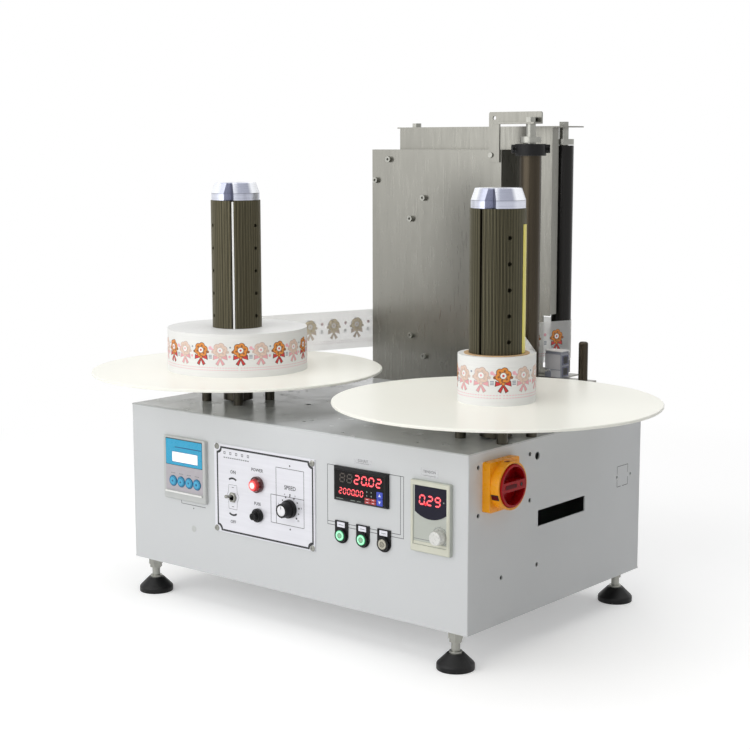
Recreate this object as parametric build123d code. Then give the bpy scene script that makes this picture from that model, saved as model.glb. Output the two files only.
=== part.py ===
from build123d import *
import math
import os

# Bench-top label rewinder: two turntables with expanding 3-inch mandrels on a sheet-metal
# cabinet, and a stand of guide rollers behind it. All sizes are millimetres.
# Sizes below are measured from the cabinet's lower left front corner and are moved into
# the part's own frame (origin under the middle of the whole machine) by at().

# ---- cabinet ----
CAB_W = 645.0
CAB_D = 437.0
CAB_H = 243.0
SHEET = 2.0
FOOT_H = 53.0
FOOT_IN_X = 30.0
FOOT_IN_Y = 15.0
FOOT_R = 26.0
STEM_R = 6.0

# ---- turntables ----
AXIS_LEFT_X = 108.0
AXIS_RIGHT_IN = 45.0
AXIS_GAP = CAB_W - AXIS_LEFT_X - AXIS_RIGHT_IN
AXIS_Y = 124.0
PLATTER_R = 225.0
PLATTER_T = 4.0
PLATTER_TOP = CAB_H + 51.0
HUB_R = 23.0
HUB_LIFT = 2.5
PILLAR_R = 7.5
PILLAR_RING = 49.0
PILLAR_GAP = 0.5

# ---- expanding mandrel, 3-inch cores ----
MANDREL_R = 38.1
MANDREL_L = 260.0
SHELL_IN_R = 30.0
SLOT_GAP = 3.4
RIB_W = 8.0
RIB_SIDE_GAP = 0.2
FLUTES = 38
FLUTE_DEPTH = 0.8
SEG_LIFT = 0.3
SPINDLE_CORE_R = 24.0
CAM_RING = 8.2
CAM_ROUND = 4.0
CAM_GAP = 0.3
CAP_H_LOW = 11.0
CAP_H_CONE = 15.5
CAP_R_LOW = 36.8
CAP_R_TOP = 31.4
CAP_GAP = 0.3
HOLE_DOWN = [38.0, 72.6, 107.2, 141.8, 176.4]
HOLE_R = 3.0

# ---- drive ----
SHAFT_R = 12.5
DRIVE_END_R = 10.0
RUN_FIT = 0.05
BEARING_SQ = 80.0
BEARING_T = 12.0
BOSS_R = 27.5
BOSS_H = 35.0
GEARBOX_SQ = 80.0
GEARBOX_H = 60.0
GEARBOX_GAP = 22.0
GEARBOX_Z0 = CAB_H - SHEET - BEARING_T - BOSS_H - GEARBOX_GAP - GEARBOX_H
SHAFT_STEP_Z = GEARBOX_Z0 + GEARBOX_H + 10.0
MOTOR_R = 38.0

# ---- label rolls and web ----
LABEL_H = 65.0
ROLL_LEFT_R = 108.0
ROLL_RIGHT_R = 53.0
CORE_WALL = 6.1
CORE_GAP = 0.3
WEB_T = 0.4
WEB_GAP = 0.3

# ---- roller stand ----
STAND_DEPTH = 43.0
STAND_GAP_Y = CAB_D + STAND_DEPTH
FRONT_ROLLER = (448.0, CAB_D - 13.0)
REAR_RIGHT = (446.0, STAND_GAP_Y + 40.0)
REAR_LEFT = (150.5, STAND_GAP_Y + 40.0)
FRONT_ROLLER_R = 17.0
REAR_ROLLER_R = 16.0
ROLLER_TOP = 636.0
ROLLER_SHAFT_R = 7.5
ROLLER_BORE_R = ROLLER_SHAFT_R + 0.08
COLLAR_R = 16.0
COVER_T = 1.5
COVER_X0 = 121.0
COVER_X1 = 384.4
COVER_TOP = 629.5
COVER_BOTTOM = 120.0
REAR_T = 2.0
REAR_X0 = 146.0
REAR_X1 = 451.0
REAR_Z0 = CAB_H + 25.0
REAR_Z1 = ROLLER_TOP + 30.0
FLANGE_X0 = 140.0
FLANGE_X1 = 470.0
REAR_Y = STAND_GAP_Y + 60.0
STAND_BOLTS = [(158.3, 613.5), (130.4, 578.9), (231.4, 551.3), (204.5, 516.7), (205.9, 323.3), (233.5, 290.2)]

# ---- front panel instruments ----
PANEL_WIDTHS = [90.0, 199.0, 96.0, 66.0]
PANEL_GAPS = [75.0, 16.0, 37.5, 40.5, 25.0]
GAP_SCALE = (CAB_W - sum(PANEL_WIDTHS)) / sum(PANEL_GAPS)
METER_X = PANEL_GAPS[0] * GAP_SCALE
PLATE_X = METER_X + PANEL_WIDTHS[0] + PANEL_GAPS[1] * GAP_SCALE
COUNTER_X = PLATE_X + PANEL_WIDTHS[1] + PANEL_GAPS[2] * GAP_SCALE
TENSION_X = COUNTER_X + PANEL_WIDTHS[2] + PANEL_GAPS[3] * GAP_SCALE
METER = (METER_X, METER_X + PANEL_WIDTHS[0], 106.5, 203.0)
METER_PROUD = 6.0
KEY_X = [METER_X + dx for dx in (21.3, 38.5, 55.6, 72.6)]
KEY_Z = 134.8
KEY_R = 7.4
PLATE = (PLATE_X, PLATE_X + PANEL_WIDTHS[1], 70.6, 202.6)
PLATE_T = 2.0
PLATE_SCREWS = [(PLATE_X + dx, z) for dx, z in ((6.0, 198.4), (194.6, 196.8), (194.5, 74.8), (3.9, 74.8))]
TOGGLE = (PLATE_X + 37.5, 125.5)
TOGGLE_UP_DEG = 9.0
LAMP = (PLATE_X + 88.5, 152.0)
FUSE = (PLATE_X + 89.0, 106.5)
KNOB = (PLATE_X + 151.5, 125.5)
KNOB_SHAFT_R = 3.0
COUNTER = (COUNTER_X, COUNTER_X + PANEL_WIDTHS[2], 152.2, 200.4)
COUNTER_PROUD = 6.0
BUTTON_X = [COUNTER_X + dx for dx in (11.5, 50.0, 87.5)]
BUTTON_Z = 102.5
BUTTON_R = 7.6
TENSION = (TENSION_X, TENSION_X + PANEL_WIDTHS[3], 103.5, 200.5)
TENSION_PROUD = 7.0
TENSION_KNOB = (TENSION_X + 49.5, 128.8)

# ---- right side ----
ISOLATOR = (64.0, 195.0)
ISO_BASE = 67.0
ISO_BASE_T = 12.0
ISO_RING_R = 32.5
ISO_RING_OUT = 25.0
ISO_HANDLE_R = 29.0
ISO_HANDLE_OUT = 27.5
ISO_POCKET = 10.0
ISO_GRIP_HALF = 6.5
ISO_RECESS_R = 25.5
ISO_RECESS = 14.0
WINDOW = (162.0, 282.0, 117.5, 140.0)
INLET = (CAB_W - 85.0, 60.0)

AXIS_RIGHT_X = AXIS_LEFT_X + AXIS_GAP
OX = -(AXIS_LEFT_X + AXIS_RIGHT_X) / 2
OY = -((AXIS_Y - PLATTER_R) + REAR_Y) / 2
OZ = FOOT_H
MANDREL_TOP = PLATTER_TOP + MANDREL_L
CAP_Z = MANDREL_TOP + CAP_GAP
CAM_REACH = CAM_RING + CAM_ROUND
RIB_TIP_R = CAM_REACH + CAM_GAP
PLATTER_LOW = PLATTER_TOP - PLATTER_T
WEB_Z0 = PLATTER_TOP + 0.3
WEB_Z1 = PLATTER_TOP + LABEL_H
CORE_IN_R = MANDREL_R + CORE_GAP
CORE_OUT_R = CORE_IN_R + CORE_WALL


def at(x, y, z):
    """Place something given from the cabinet's corner in the part's own frame."""
    return Pos(x + OX, y + OY, z + OZ)


def slab(x0, x1, y0, y1, z0, z1):
    """Rectangular block between two opposite corners."""
    return at((x0 + x1) / 2, (y0 + y1) / 2, (z0 + z1) / 2) * Box(x1 - x0, y1 - y0, z1 - z0)


def post(x, y, z0, z1, r):
    """Upright cylinder."""
    return at(x, y, (z0 + z1) / 2) * Cylinder(r, z1 - z0)


def rod_y(x, z, y0, y1, r):
    """Cylinder running front to back."""
    return at(x, (y0 + y1) / 2, z) * Rot(90, 0, 0) * Cylinder(r, y1 - y0)


def rod_x(y, z, x0, x1, r):
    """Cylinder running left to right."""
    return at((x0 + x1) / 2, y, z) * Rot(0, 90, 0) * Cylinder(r, x1 - x0)


def taper_y(x, z, y_back, y_front, r_back, r_front):
    """Cone frustum whose front end faces the operator."""
    length = y_back - y_front
    return at(x, (y_back + y_front) / 2, z) * Rot(90, 0, 0) * Cone(r_back, r_front, length)


def hex_up(x, y, z0, z1, across):
    """Hexagonal prism standing upright, sized across its flats."""
    return at(x, y, z0) * extrude(RegularPolygon(across / 2, 6, major_radius=False), z1 - z0)


def hex_y(x, z, y0, y1, across):
    """Hexagonal prism running front to back, sized across its flats."""
    prism = extrude(RegularPolygon(across / 2, 6, major_radius=False), y1 - y0)
    return at(x, y1, z) * Rot(90, 0, 0) * prism


def polar(x, y, r, deg):
    """Point at a radius and angle about an upright axis."""
    return x + r * math.cos(math.radians(deg)), y + r * math.sin(math.radians(deg))


os.makedirs("parts", exist_ok=True)


def save(name, *solids):
    """Write one named sub-part."""
    shape = Compound(label=name, children=[s for group in solids for s in group.solids()])
    export_step(shape, os.path.join("parts", name + ".step"))


# =============================== cabinet ===============================
FOOT_POINTS = []
for fx in (FOOT_IN_X, CAB_W - FOOT_IN_X):
    for fy in (FOOT_IN_Y, CAB_D - FOOT_IN_Y):
        FOOT_POINTS.append((fx, fy))

top_plate = slab(0, CAB_W, 0, CAB_D, CAB_H - SHEET, CAB_H)
fold = top_plate.edges().filter_by(Axis.X).sort_by(Axis.Y)[:2].sort_by(Axis.Z)[-1]
top_plate = fillet(fold, SHEET * 0.9)
TOP_HOLES = [
    (106.4, 184.5, 2.6), (128.1, 202.2, 2.6), (110.9, 240.6, 4.5), (127.9, 241.2, 2.6), (131.7, 257.5, 2.6),
    (134.1, 313.6, 2.6), (222.2, 160.9, 4.5), (317.4, 46.5, 2.6), (318.9, 62.5, 2.6), (417.1, 15.4, 2.6),
    (540.9, 25.9, 2.6),
]
for hx, hy, hr in TOP_HOLES:
    top_plate -= post(hx, hy, CAB_H - 5, CAB_H + 1, hr)
for ax in (AXIS_LEFT_X, AXIS_RIGHT_X):
    top_plate -= post(ax, AXIS_Y, CAB_H - 5, CAB_H + 1, SHAFT_R + 1.5)
save("cabinet_top_plate", top_plate)

bottom_plate = slab(0, CAB_W, 0, CAB_D, 0, SHEET)
for fx, fy in FOOT_POINTS:
    bottom_plate -= post(fx, fy, -1, SHEET + 1, STEM_R + 0.3)
save("cabinet_bottom_plate", bottom_plate)

WALL_Z0 = SHEET
WALL_Z1 = CAB_H - SHEET
left_panel = slab(0, SHEET, 0, CAB_D, WALL_Z0, WALL_Z1)
left_panel = fillet(left_panel.edges().filter_by(Axis.Z).sort_by(Axis.X)[:2], SHEET * 0.8)
save("cabinet_left_panel", left_panel)

right_panel = slab(CAB_W - SHEET, CAB_W, 0, CAB_D, WALL_Z0, WALL_Z1)
right_panel = fillet(right_panel.edges().filter_by(Axis.Z).sort_by(Axis.X)[-2:], SHEET * 0.8)
right_panel -= slab(CAB_W - 5, CAB_W + 5, WINDOW[0], WINDOW[1], WINDOW[2], WINDOW[3])
SIDE_HOLES = [
    (21.6, 222.8, 3.2), (140.8, 222.3, 3.2), (158.9, 217.2, 5.5), (141.4, 158.1, 3.2), (22.0, 158.3, 3.2),
    (75.7, 63.6, 3.2), (161.0, 63.8, 3.2), (CAB_D - 66.8, 151.5, 2.2), (CAB_D - 28.9, 151.2, 2.2),
]
for hy, hz, hr in SIDE_HOLES:
    right_panel -= rod_x(hy, hz, CAB_W - 5, CAB_W + 5, hr)
right_panel -= rod_x(ISOLATOR[0], ISOLATOR[1], CAB_W - 5, CAB_W + 5, 11.0)
save("cabinet_right_panel", right_panel)

front_panel = slab(SHEET, CAB_W - SHEET, 0, SHEET, WALL_Z0, WALL_Z1)
CASE_IN = 2.5
for x0, x1, z0, z1 in (METER, COUNTER, TENSION):
    front_panel -= slab(x0 + 2, x1 - 2, -1, SHEET + 1, z0 + 2, z1 - 2)
front_panel -= rod_y(TOGGLE[0], TOGGLE[1], -1, SHEET + 1, 6.3)
front_panel -= rod_y(LAMP[0], LAMP[1], -1, SHEET + 1, 8.0)
front_panel -= rod_y(FUSE[0], FUSE[1], -1, SHEET + 1, 8.0)
front_panel -= rod_y(KNOB[0], KNOB[1], -1, SHEET + 1, 5.0)
for bx in BUTTON_X:
    front_panel -= rod_y(bx, BUTTON_Z, -1, SHEET + 1, 8.0)
for sx, sz in PLATE_SCREWS:
    front_panel -= rod_y(sx, sz, -1, SHEET + 1, 2.0)
save("cabinet_front_panel", front_panel)

back_panel = slab(SHEET, CAB_W - SHEET, CAB_D - SHEET, CAB_D, WALL_Z0, WALL_Z1)
back_panel -= slab(INLET[0] - 14, INLET[0] + 14, CAB_D - 5, CAB_D + 5, INLET[1] - 10, INLET[1] + 10)
save("cabinet_back_panel", back_panel)

pads = []
stems = []
for fx, fy in FOOT_POINTS:
    pad = post(fx, fy, -FOOT_H, -FOOT_H + 8, FOOT_R)
    pad += at(fx, fy, -FOOT_H + 15) * Cone(FOOT_R, 12, 14)
    pad = fillet(pad.edges().filter_by(GeomType.CIRCLE).group_by(Axis.Z)[1], 4)
    pad = fillet(pad.edges().filter_by(GeomType.CIRCLE).group_by(Axis.Z)[0], 1)
    pads.append(pad)
    stem = post(fx, fy, -FOOT_H + 22, 20, STEM_R)
    stem += hex_up(fx, fy, -10, 0, 19)
    stem += hex_up(fx, fy, SHEET, SHEET + 8, 19)
    stem += post(fx, fy, -FOOT_H + 22, -FOOT_H + 25, 9)
    stems.append(stem)
save("foot_pads", *pads)
save("foot_stems", *stems)

# =============================== turntables ===============================
TABLES = {
    "left": {"x": AXIS_LEFT_X, "segments": [6.0, 126.0, 246.0], "cap": -62.0},
    "right": {"x": AXIS_RIGHT_X, "segments": [-30.0, 90.0, 210.0], "cap": -71.6},
}


def segment_face():
    """Cross-section of one mandrel segment, centred on the X axis, fluted outside, with its inner rib."""
    half_out = 60 - math.degrees(math.asin(SLOT_GAP / 2 / MANDREL_R))
    half_in = 60 - math.degrees(math.asin(SLOT_GAP / 2 / SHELL_IN_R))
    step = 2 * half_out / FLUTES
    outer = []
    for k in range(FLUTES):
        a = -half_out + k * step
        outer.append(polar(0, 0, MANDREL_R, a))
        outer.append(polar(0, 0, MANDREL_R, a + step * 0.55))
        outer.append(polar(0, 0, MANDREL_R - FLUTE_DEPTH, a + step * 0.78))
    outer.append(polar(0, 0, MANDREL_R, half_out))
    in_start = polar(0, 0, SHELL_IN_R, half_in)
    in_mid = (SHELL_IN_R, 0)
    in_end = polar(0, 0, SHELL_IN_R, -half_in)
    line = Polyline(*outer)
    side_a = Line(outer[-1], in_start)
    back = ThreePointArc(in_start, in_mid, in_end)
    side_b = Line(in_end, outer[0])
    face = Face(Wire([*line.edges(), *side_a.edges(), *back.edges(), *side_b.edges()]))
    rib = Pos((RIB_TIP_R + SHELL_IN_R + 1) / 2, 0) * Rectangle(SHELL_IN_R + 1 - RIB_TIP_R, RIB_W)
    return face, rib.face()


shell_face, rib_face = segment_face()
seg_len = MANDREL_L - SEG_LIFT
segment = extrude(shell_face, seg_len, dir=(0, 0, 1)) + extrude(rib_face, seg_len, dir=(0, 0, 1))
for down in HOLE_DOWN:
    drill = Pos(MANDREL_R - 2, 0, seg_len - down) * Rot(0, 90, 0) * Cylinder(HOLE_R, 10)
    segment -= drill

for side, table in TABLES.items():
    ax = table["x"]
    platter = post(ax, AXIS_Y, PLATTER_LOW, PLATTER_TOP, PLATTER_R)
    platter = fillet(platter.edges().filter_by(GeomType.CIRCLE), 1.2)
    platter -= post(ax, AXIS_Y, PLATTER_LOW - 1, PLATTER_TOP + 1, 18.0)
    save(side + "_platter", platter)

    spindle = post(ax, AXIS_Y, GEARBOX_Z0 + 20, SHAFT_STEP_Z, DRIVE_END_R)
    spindle += post(ax, AXIS_Y, SHAFT_STEP_Z, CAB_H + HUB_LIFT, SHAFT_R)
    spindle += post(ax, AXIS_Y, CAB_H + HUB_LIFT, PLATTER_LOW, HUB_R)
    spindle += post(ax, AXIS_Y, PLATTER_LOW, PLATTER_TOP, 18.0)
    spindle += post(ax, AXIS_Y, PLATTER_TOP, MANDREL_TOP - 1, SPINDLE_CORE_R)
    spindle -= post(ax, AXIS_Y, PLATTER_TOP + 5, MANDREL_TOP, RIB_TIP_R + 0.1)
    for k, mid in enumerate(table["segments"]):
        slot_len = SPINDLE_CORE_R + 2
        slot = Pos(slot_len / 2, 0, MANDREL_L / 2 + 0.1) * Box(slot_len, RIB_W + 2 * RIB_SIDE_GAP, MANDREL_L)
        spindle -= at(ax, AXIS_Y, PLATTER_TOP) * Rot(0, 0, mid) * slot
        piece = at(ax, AXIS_Y, PLATTER_TOP + SEG_LIFT) * Rot(0, 0, mid) * segment
        save(side + "_segment_" + str(k + 1), piece)
    save(side + "_spindle", spindle)

    cap = post(ax, AXIS_Y, CAP_Z, CAP_Z + CAP_H_LOW, CAP_R_LOW)
    cap += at(ax, AXIS_Y, CAP_Z + CAP_H_LOW + CAP_H_CONE / 2) * Cone(CAP_R_LOW, CAP_R_TOP, CAP_H_CONE)
    cap = fillet(cap.edges().filter_by(GeomType.CIRCLE).group_by(Axis.Z)[-1], 1.0)
    notch = Pos(0, 0, -1) * extrude(make_face(Polyline((24, 0), (44, 13), (44, -13), close=True)), 40)
    for k in range(3):
        cap -= at(ax, AXIS_Y, CAP_Z) * Rot(0, 0, table["cap"] + 120 * k) * notch
    cam = extrude(offset(RegularPolygon(CAM_RING, 3), CAM_ROUND), MANDREL_L - 8)
    cap += at(ax, AXIS_Y, PLATTER_TOP + 6) * Rot(0, 0, table["segments"][0]) * cam
    cap += post(ax, AXIS_Y, MANDREL_TOP - 4, CAP_Z, 6)
    save(side + "_expander", cap)

pillars = []
for table in TABLES.values():
    for k in range(4):
        px, py = polar(table["x"], AXIS_Y, PILLAR_RING, 45 + 90 * k)
        pillars.append(post(px, py, CAB_H, PLATTER_LOW - PILLAR_GAP, PILLAR_R))
save("platter_supports", *pillars)


def ring(x, y, z0, z1, r_in, r_out):
    """Upright tube."""
    return post(x, y, z0, z1, r_out) - post(x, y, z0 - 1, z1 + 1, r_in)


save("left_label_roll", ring(AXIS_LEFT_X, AXIS_Y, PLATTER_TOP, WEB_Z1, CORE_IN_R, ROLL_LEFT_R))
save("right_roll_core", ring(AXIS_RIGHT_X, AXIS_Y, PLATTER_TOP, WEB_Z1 + 1, CORE_IN_R, CORE_OUT_R))
save("right_label_roll", ring(AXIS_RIGHT_X, AXIS_Y, PLATTER_TOP, WEB_Z1, CORE_OUT_R, ROLL_RIGHT_R))

bearings = []
motors = []
for table in TABLES.values():
    ax = table["x"]
    z_flange = CAB_H - SHEET - BEARING_T
    half = BEARING_SQ / 2
    unit = slab(ax - half, ax + half, AXIS_Y - half, AXIS_Y + half, z_flange, CAB_H - SHEET)
    unit += post(ax, AXIS_Y, z_flange - BOSS_H, z_flange, BOSS_R)
    unit -= post(ax, AXIS_Y, z_flange - BOSS_H - 1, CAB_H, SHAFT_R + RUN_FIT)
    bearings.append(unit)
    half = GEARBOX_SQ / 2
    z_top = GEARBOX_Z0 + GEARBOX_H
    motor = slab(ax - half, ax + half, AXIS_Y - half, AXIS_Y + half, GEARBOX_Z0, z_top)
    motor += post(ax, AXIS_Y, SHEET, GEARBOX_Z0, MOTOR_R)
    motor -= post(ax, AXIS_Y, GEARBOX_Z0 + 18, z_top + 1, DRIVE_END_R + RUN_FIT)
    motors.append(motor)
save("spindle_bearings", *bearings)
save("gearmotors", *motors)

# =============================== rollers ===============================
front_z0 = CAB_H + 4.0
rear_z0 = REAR_Z0 + REAR_T + 4.0
save("front_roller", ring(*FRONT_ROLLER, front_z0, ROLLER_TOP, ROLLER_BORE_R, FRONT_ROLLER_R))
save("rear_roller_left", ring(*REAR_LEFT, rear_z0, ROLLER_TOP, ROLLER_BORE_R, REAR_ROLLER_R))
save("rear_roller_right", ring(*REAR_RIGHT, rear_z0, ROLLER_TOP, ROLLER_BORE_R, REAR_ROLLER_R))

FRONT_FLANGE_Z = ROLLER_TOP + 33.0
REAR_FLANGE_Z = REAR_Z1 - REAR_T
shafts = []
shaft = post(*FRONT_ROLLER, CAB_H, FRONT_FLANGE_Z, ROLLER_SHAFT_R)
shaft += post(*FRONT_ROLLER, CAB_H, front_z0 - 0.5, 12)
shaft += post(*FRONT_ROLLER, ROLLER_TOP + 4.5, ROLLER_TOP + 13.5, COLLAR_R)
shafts.append(shaft)
for spot in (REAR_LEFT, REAR_RIGHT):
    shaft = post(*spot, REAR_Z0 + REAR_T, REAR_FLANGE_Z, ROLLER_SHAFT_R)
    shaft += post(*spot, REAR_Z0 + REAR_T, rear_z0 - 0.5, 11)
    shaft += post(*spot, ROLLER_TOP + 1, ROLLER_TOP + 10, COLLAR_R)
    shafts.append(shaft)
save("roller_shafts", *shafts)

GUIDE_DEG = 40.0
GUIDE_Z = ROLLER_TOP - 5.0
guide = post(*FRONT_ROLLER, GUIDE_Z - 10.5, GUIDE_Z + 7.5, 24.0)
guide += at(*FRONT_ROLLER, GUIDE_Z) * Rot(0, 0, GUIDE_DEG) * Box(59.0, 15.0, 13.0)
guide = fillet(guide.edges().filter_by(Axis.Z), 2.0)
guide -= post(*FRONT_ROLLER, GUIDE_Z - 11, GUIDE_Z + 8, FRONT_ROLLER_R)
for ear in (-1, 1):
    ex, ey = polar(*FRONT_ROLLER, ear * 25.5, GUIDE_DEG)
    bore = Rot(90, 0, 0) * Cylinder(3.0, 12)
    guide -= at(ex, ey, GUIDE_Z) * Rot(0, 0, GUIDE_DEG) * Pos(0, -7.5, 0) * bore
save("edge_guide_ring", guide)

# =============================== roller stand ===============================
cover = slab(COVER_X0, COVER_X1, CAB_D, CAB_D + COVER_T, COVER_BOTTOM, COVER_TOP)
cover += slab(COVER_X0, COVER_X1, CAB_D, STAND_GAP_Y, COVER_TOP - COVER_T, COVER_TOP)
cover += slab(COVER_X1 - COVER_T, COVER_X1, CAB_D, STAND_GAP_Y, CAB_H + 3, COVER_TOP)
cover += slab(COVER_X0, COVER_X0 + COVER_T, CAB_D, CAB_D + 18, CAB_H + 3, COVER_TOP)
for bx, bz in STAND_BOLTS:
    cover -= rod_y(bx, bz, CAB_D - 1, CAB_D + 5, 3.1)
save("stand_front_cover", cover)

rear = slab(REAR_X0, REAR_X1, STAND_GAP_Y, STAND_GAP_Y + REAR_T, REAR_Z0, REAR_Z1)
rear -= slab(438, REAR_X1 + 1, STAND_GAP_Y - 1, STAND_GAP_Y + 5, 285, 368)
rear += slab(FLANGE_X0, FLANGE_X1, STAND_GAP_Y, REAR_Y, REAR_Z1 - REAR_T, REAR_Z1)
rear += slab(FLANGE_X0 - 6, FLANGE_X1, STAND_GAP_Y, REAR_Y, REAR_Z0, REAR_Z0 + REAR_T)
rear += slab(REAR_X1 - REAR_T, REAR_X1, STAND_GAP_Y, STAND_GAP_Y + 18, 370, REAR_Z1)
rear += slab(REAR_X0, REAR_X0 + REAR_T, STAND_GAP_Y, STAND_GAP_Y + 18, REAR_Z0, REAR_Z1)
for bx, bz in STAND_BOLTS:
    if bx > REAR_X0 + 6:
        rear -= rod_y(bx, bz, STAND_GAP_Y - 1, STAND_GAP_Y + 5, 3.1)
for spot in (REAR_LEFT, REAR_RIGHT):
    rear -= post(*spot, REAR_Z1 - 5, REAR_Z1 + 1, 4.2)
save("stand_rear_plate", rear)

BRACKET_T = 3.0
SHELF_T = 2.7
BRACKET_TOP = FRONT_FLANGE_Z + 19.0
EAR_TOP = FRONT_FLANGE_Z + SHELF_T
bracket = slab(362, 382, CAB_D - BRACKET_T, CAB_D, FRONT_FLANGE_Z - 59, BRACKET_TOP)
bracket += slab(362, 461, CAB_D - BRACKET_T, CAB_D, EAR_TOP, BRACKET_TOP)
bracket += slab(382, 461, CAB_D - 25, CAB_D, FRONT_FLANGE_Z, EAR_TOP)
bracket = fillet(bracket.edges().filter_by(Axis.Y).group_by(Axis.Z)[-1], 3.0)
bracket -= rod_y(372.3, FRONT_FLANGE_Z + 9.7, CAB_D - 6, CAB_D + 1, 3.25)
bracket -= post(*FRONT_ROLLER, FRONT_FLANGE_Z - 9, EAR_TOP + 4, 4.1)
bracket -= rod_y(366.3, FRONT_FLANGE_Z - 47.8, CAB_D - 6, CAB_D + 1, 2.1)
save("top_bracket", bracket)

bolts = []
for sx, sz in PLATE_SCREWS:
    screw = rod_y(sx, sz, -PLATE_T, SHEET + 3, 2.0) + taper_y(sx, sz, -PLATE_T, -PLATE_T - 2, 4.6, 3.4)
    screw -= slab(sx - 2.2, sx + 2.2, -PLATE_T - 3, -PLATE_T - 0.8, sz - 0.5, sz + 0.5)
    screw -= slab(sx - 0.5, sx + 0.5, -PLATE_T - 3, -PLATE_T - 0.8, sz - 2.2, sz + 2.2)
    bolts.append(screw)
for bx, bz in STAND_BOLTS:
    reaches_rear = bx > REAR_X0 + 6
    hex_end = STAND_GAP_Y if reaches_rear else CAB_D + COVER_T + 5
    bolt = hex_y(bx, bz, CAB_D + COVER_T, hex_end, 10)
    bolt += rod_y(bx, bz, CAB_D - 4, CAB_D + COVER_T, 3.0)
    bolt += rod_y(bx, bz, CAB_D - 6, CAB_D, 4.8)
    bolt -= hex_y(bx, bz, CAB_D - 7, CAB_D - 2.5, 4)
    if reaches_rear:
        bolt += rod_y(bx, bz, STAND_GAP_Y, STAND_GAP_Y + 6, 3.0)
    bolts.append(bolt)
top_nut = hex_up(*FRONT_ROLLER, EAR_TOP, EAR_TOP + 7.3, 14)
bolts.append(post(*FRONT_ROLLER, FRONT_FLANGE_Z, EAR_TOP + 0.3, 4.0) + top_nut)
for spot in (REAR_LEFT, REAR_RIGHT):
    bolts.append(post(*spot, REAR_FLANGE_Z, REAR_Z1, 4.0) + hex_up(*spot, REAR_Z1, REAR_Z1 + 7, 14))
ear_z = FRONT_FLANGE_Z - 47.8
bolts.append(rod_y(366.3, ear_z, CAB_D - 3, CAB_D, 2.0) + rod_y(366.3, ear_z, CAB_D - 5.5, CAB_D - 3, 4.0))
for bx in (COVER_X0 + 25, COVER_X1 - 25):
    bolts.append(rod_y(bx, 150, CAB_D + COVER_T, CAB_D + COVER_T + 4, 5.0))
save("machine_screws", *bolts)

# =============================== label web ===============================
# The strip leaves the left roll, passes behind both rear rollers, doubles round the front
# roller and joins the right roll. Each bend is (centre x, centre y, radius, turning sense),
# where +1 keeps the centre on the left of the direction of travel.
PATH = [
    (AXIS_LEFT_X, AXIS_Y, ROLL_LEFT_R + WEB_GAP + WEB_T / 2, -1),
    (*REAR_LEFT, REAR_ROLLER_R + WEB_GAP + WEB_T / 2, -1),
    (*REAR_RIGHT, REAR_ROLLER_R + WEB_GAP + WEB_T / 2, -1),
    (*FRONT_ROLLER, FRONT_ROLLER_R + WEB_GAP + WEB_T / 2, 1),
    (AXIS_RIGHT_X, AXIS_Y, ROLL_RIGHT_R + WEB_GAP + WEB_T / 2, -1),
]


def web_side(shift):
    """Edges of one face of the strip, moved sideways (to the left of travel) by shift."""
    bends = [(cx, cy, r - sense * shift, sense) for cx, cy, r, sense in PATH]
    ends = []
    for a, b in zip(bends, bends[1:]):
        dx = b[0] - a[0]
        dy = b[1] - a[1]
        dist = math.hypot(dx, dy)
        heading = math.atan2(dy, dx) - math.asin((b[3] * b[2] - a[3] * a[2]) / dist)
        nx = -math.sin(heading)
        ny = math.cos(heading)
        start = (a[0] - a[3] * a[2] * nx, a[1] - a[3] * a[2] * ny)
        stop = (b[0] - b[3] * b[2] * nx, b[1] - b[3] * b[2] * ny)
        ends.append((start, stop))
    edges = [Line(*ends[0])]
    for k in range(1, len(ends)):
        cx, cy, r, sense = bends[k]
        p = ends[k - 1][1]
        q = ends[k][0]
        mx = (p[0] + q[0]) / 2 - cx
        my = (p[1] + q[1]) / 2 - cy
        size = math.hypot(mx, my)
        edges.append(ThreePointArc(p, (cx + mx / size * r, cy + my / size * r), q))
        edges.append(Line(*ends[k]))
    return edges, ends[0][0], ends[-1][1]


left_edges, left_start, left_stop = web_side(WEB_T / 2)
right_edges, right_start, right_stop = web_side(-WEB_T / 2)
loop = [*left_edges, Line(left_stop, right_stop), *right_edges, Line(right_start, left_start)]
web_face = Face(Wire([e for part_edge in loop for e in part_edge.edges()]))
web = extrude(web_face, WEB_Z1 - WEB_Z0, dir=(0, 0, 1))
save("label_web", at(0, 0, WEB_Z0) * web)

# =============================== label sensor ===============================
SENSOR_BAR_Z = REAR_Z0 + 4.0
SENSOR_FOOT_Z = SENSOR_BAR_Z + 3.0
SENSOR_TOP_Z = SENSOR_BAR_Z + 40.0
SENSOR_Y = CAB_D + 18.0
sensor_bar = slab(COVER_X1, 545, SENSOR_Y, SENSOR_Y + 15, SENSOR_BAR_Z, SENSOR_FOOT_Z)
sensor_bar += slab(COVER_X1, COVER_X1 + 2, SENSOR_Y - 7, SENSOR_Y + 19, SENSOR_BAR_Z, SENSOR_BAR_Z + 28)
save("sensor_bracket", sensor_bar)
pin = post(530, SENSOR_Y, SENSOR_FOOT_Z, SENSOR_BAR_Z + 64, 7.25)
pin = fillet(pin.edges().filter_by(GeomType.CIRCLE).group_by(Axis.Z)[-1], 4.0)
save("guide_pin", pin)
sensor = slab(459, 490, SENSOR_Y, SENSOR_Y + 23, SENSOR_FOOT_Z, SENSOR_TOP_Z)
sensor = fillet(sensor.edges().filter_by(Axis.Z), 2.0)
sensor -= slab(450, 470, SENSOR_Y - 5, SENSOR_Y + 45, SENSOR_BAR_Z + 11, SENSOR_BAR_Z + 14.5)
sensor_cap = slab(460, 489, SENSOR_Y + 1, SENSOR_Y + 22, SENSOR_TOP_Z, SENSOR_TOP_Z + 4)
save("label_sensor", sensor, sensor_cap)

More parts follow.
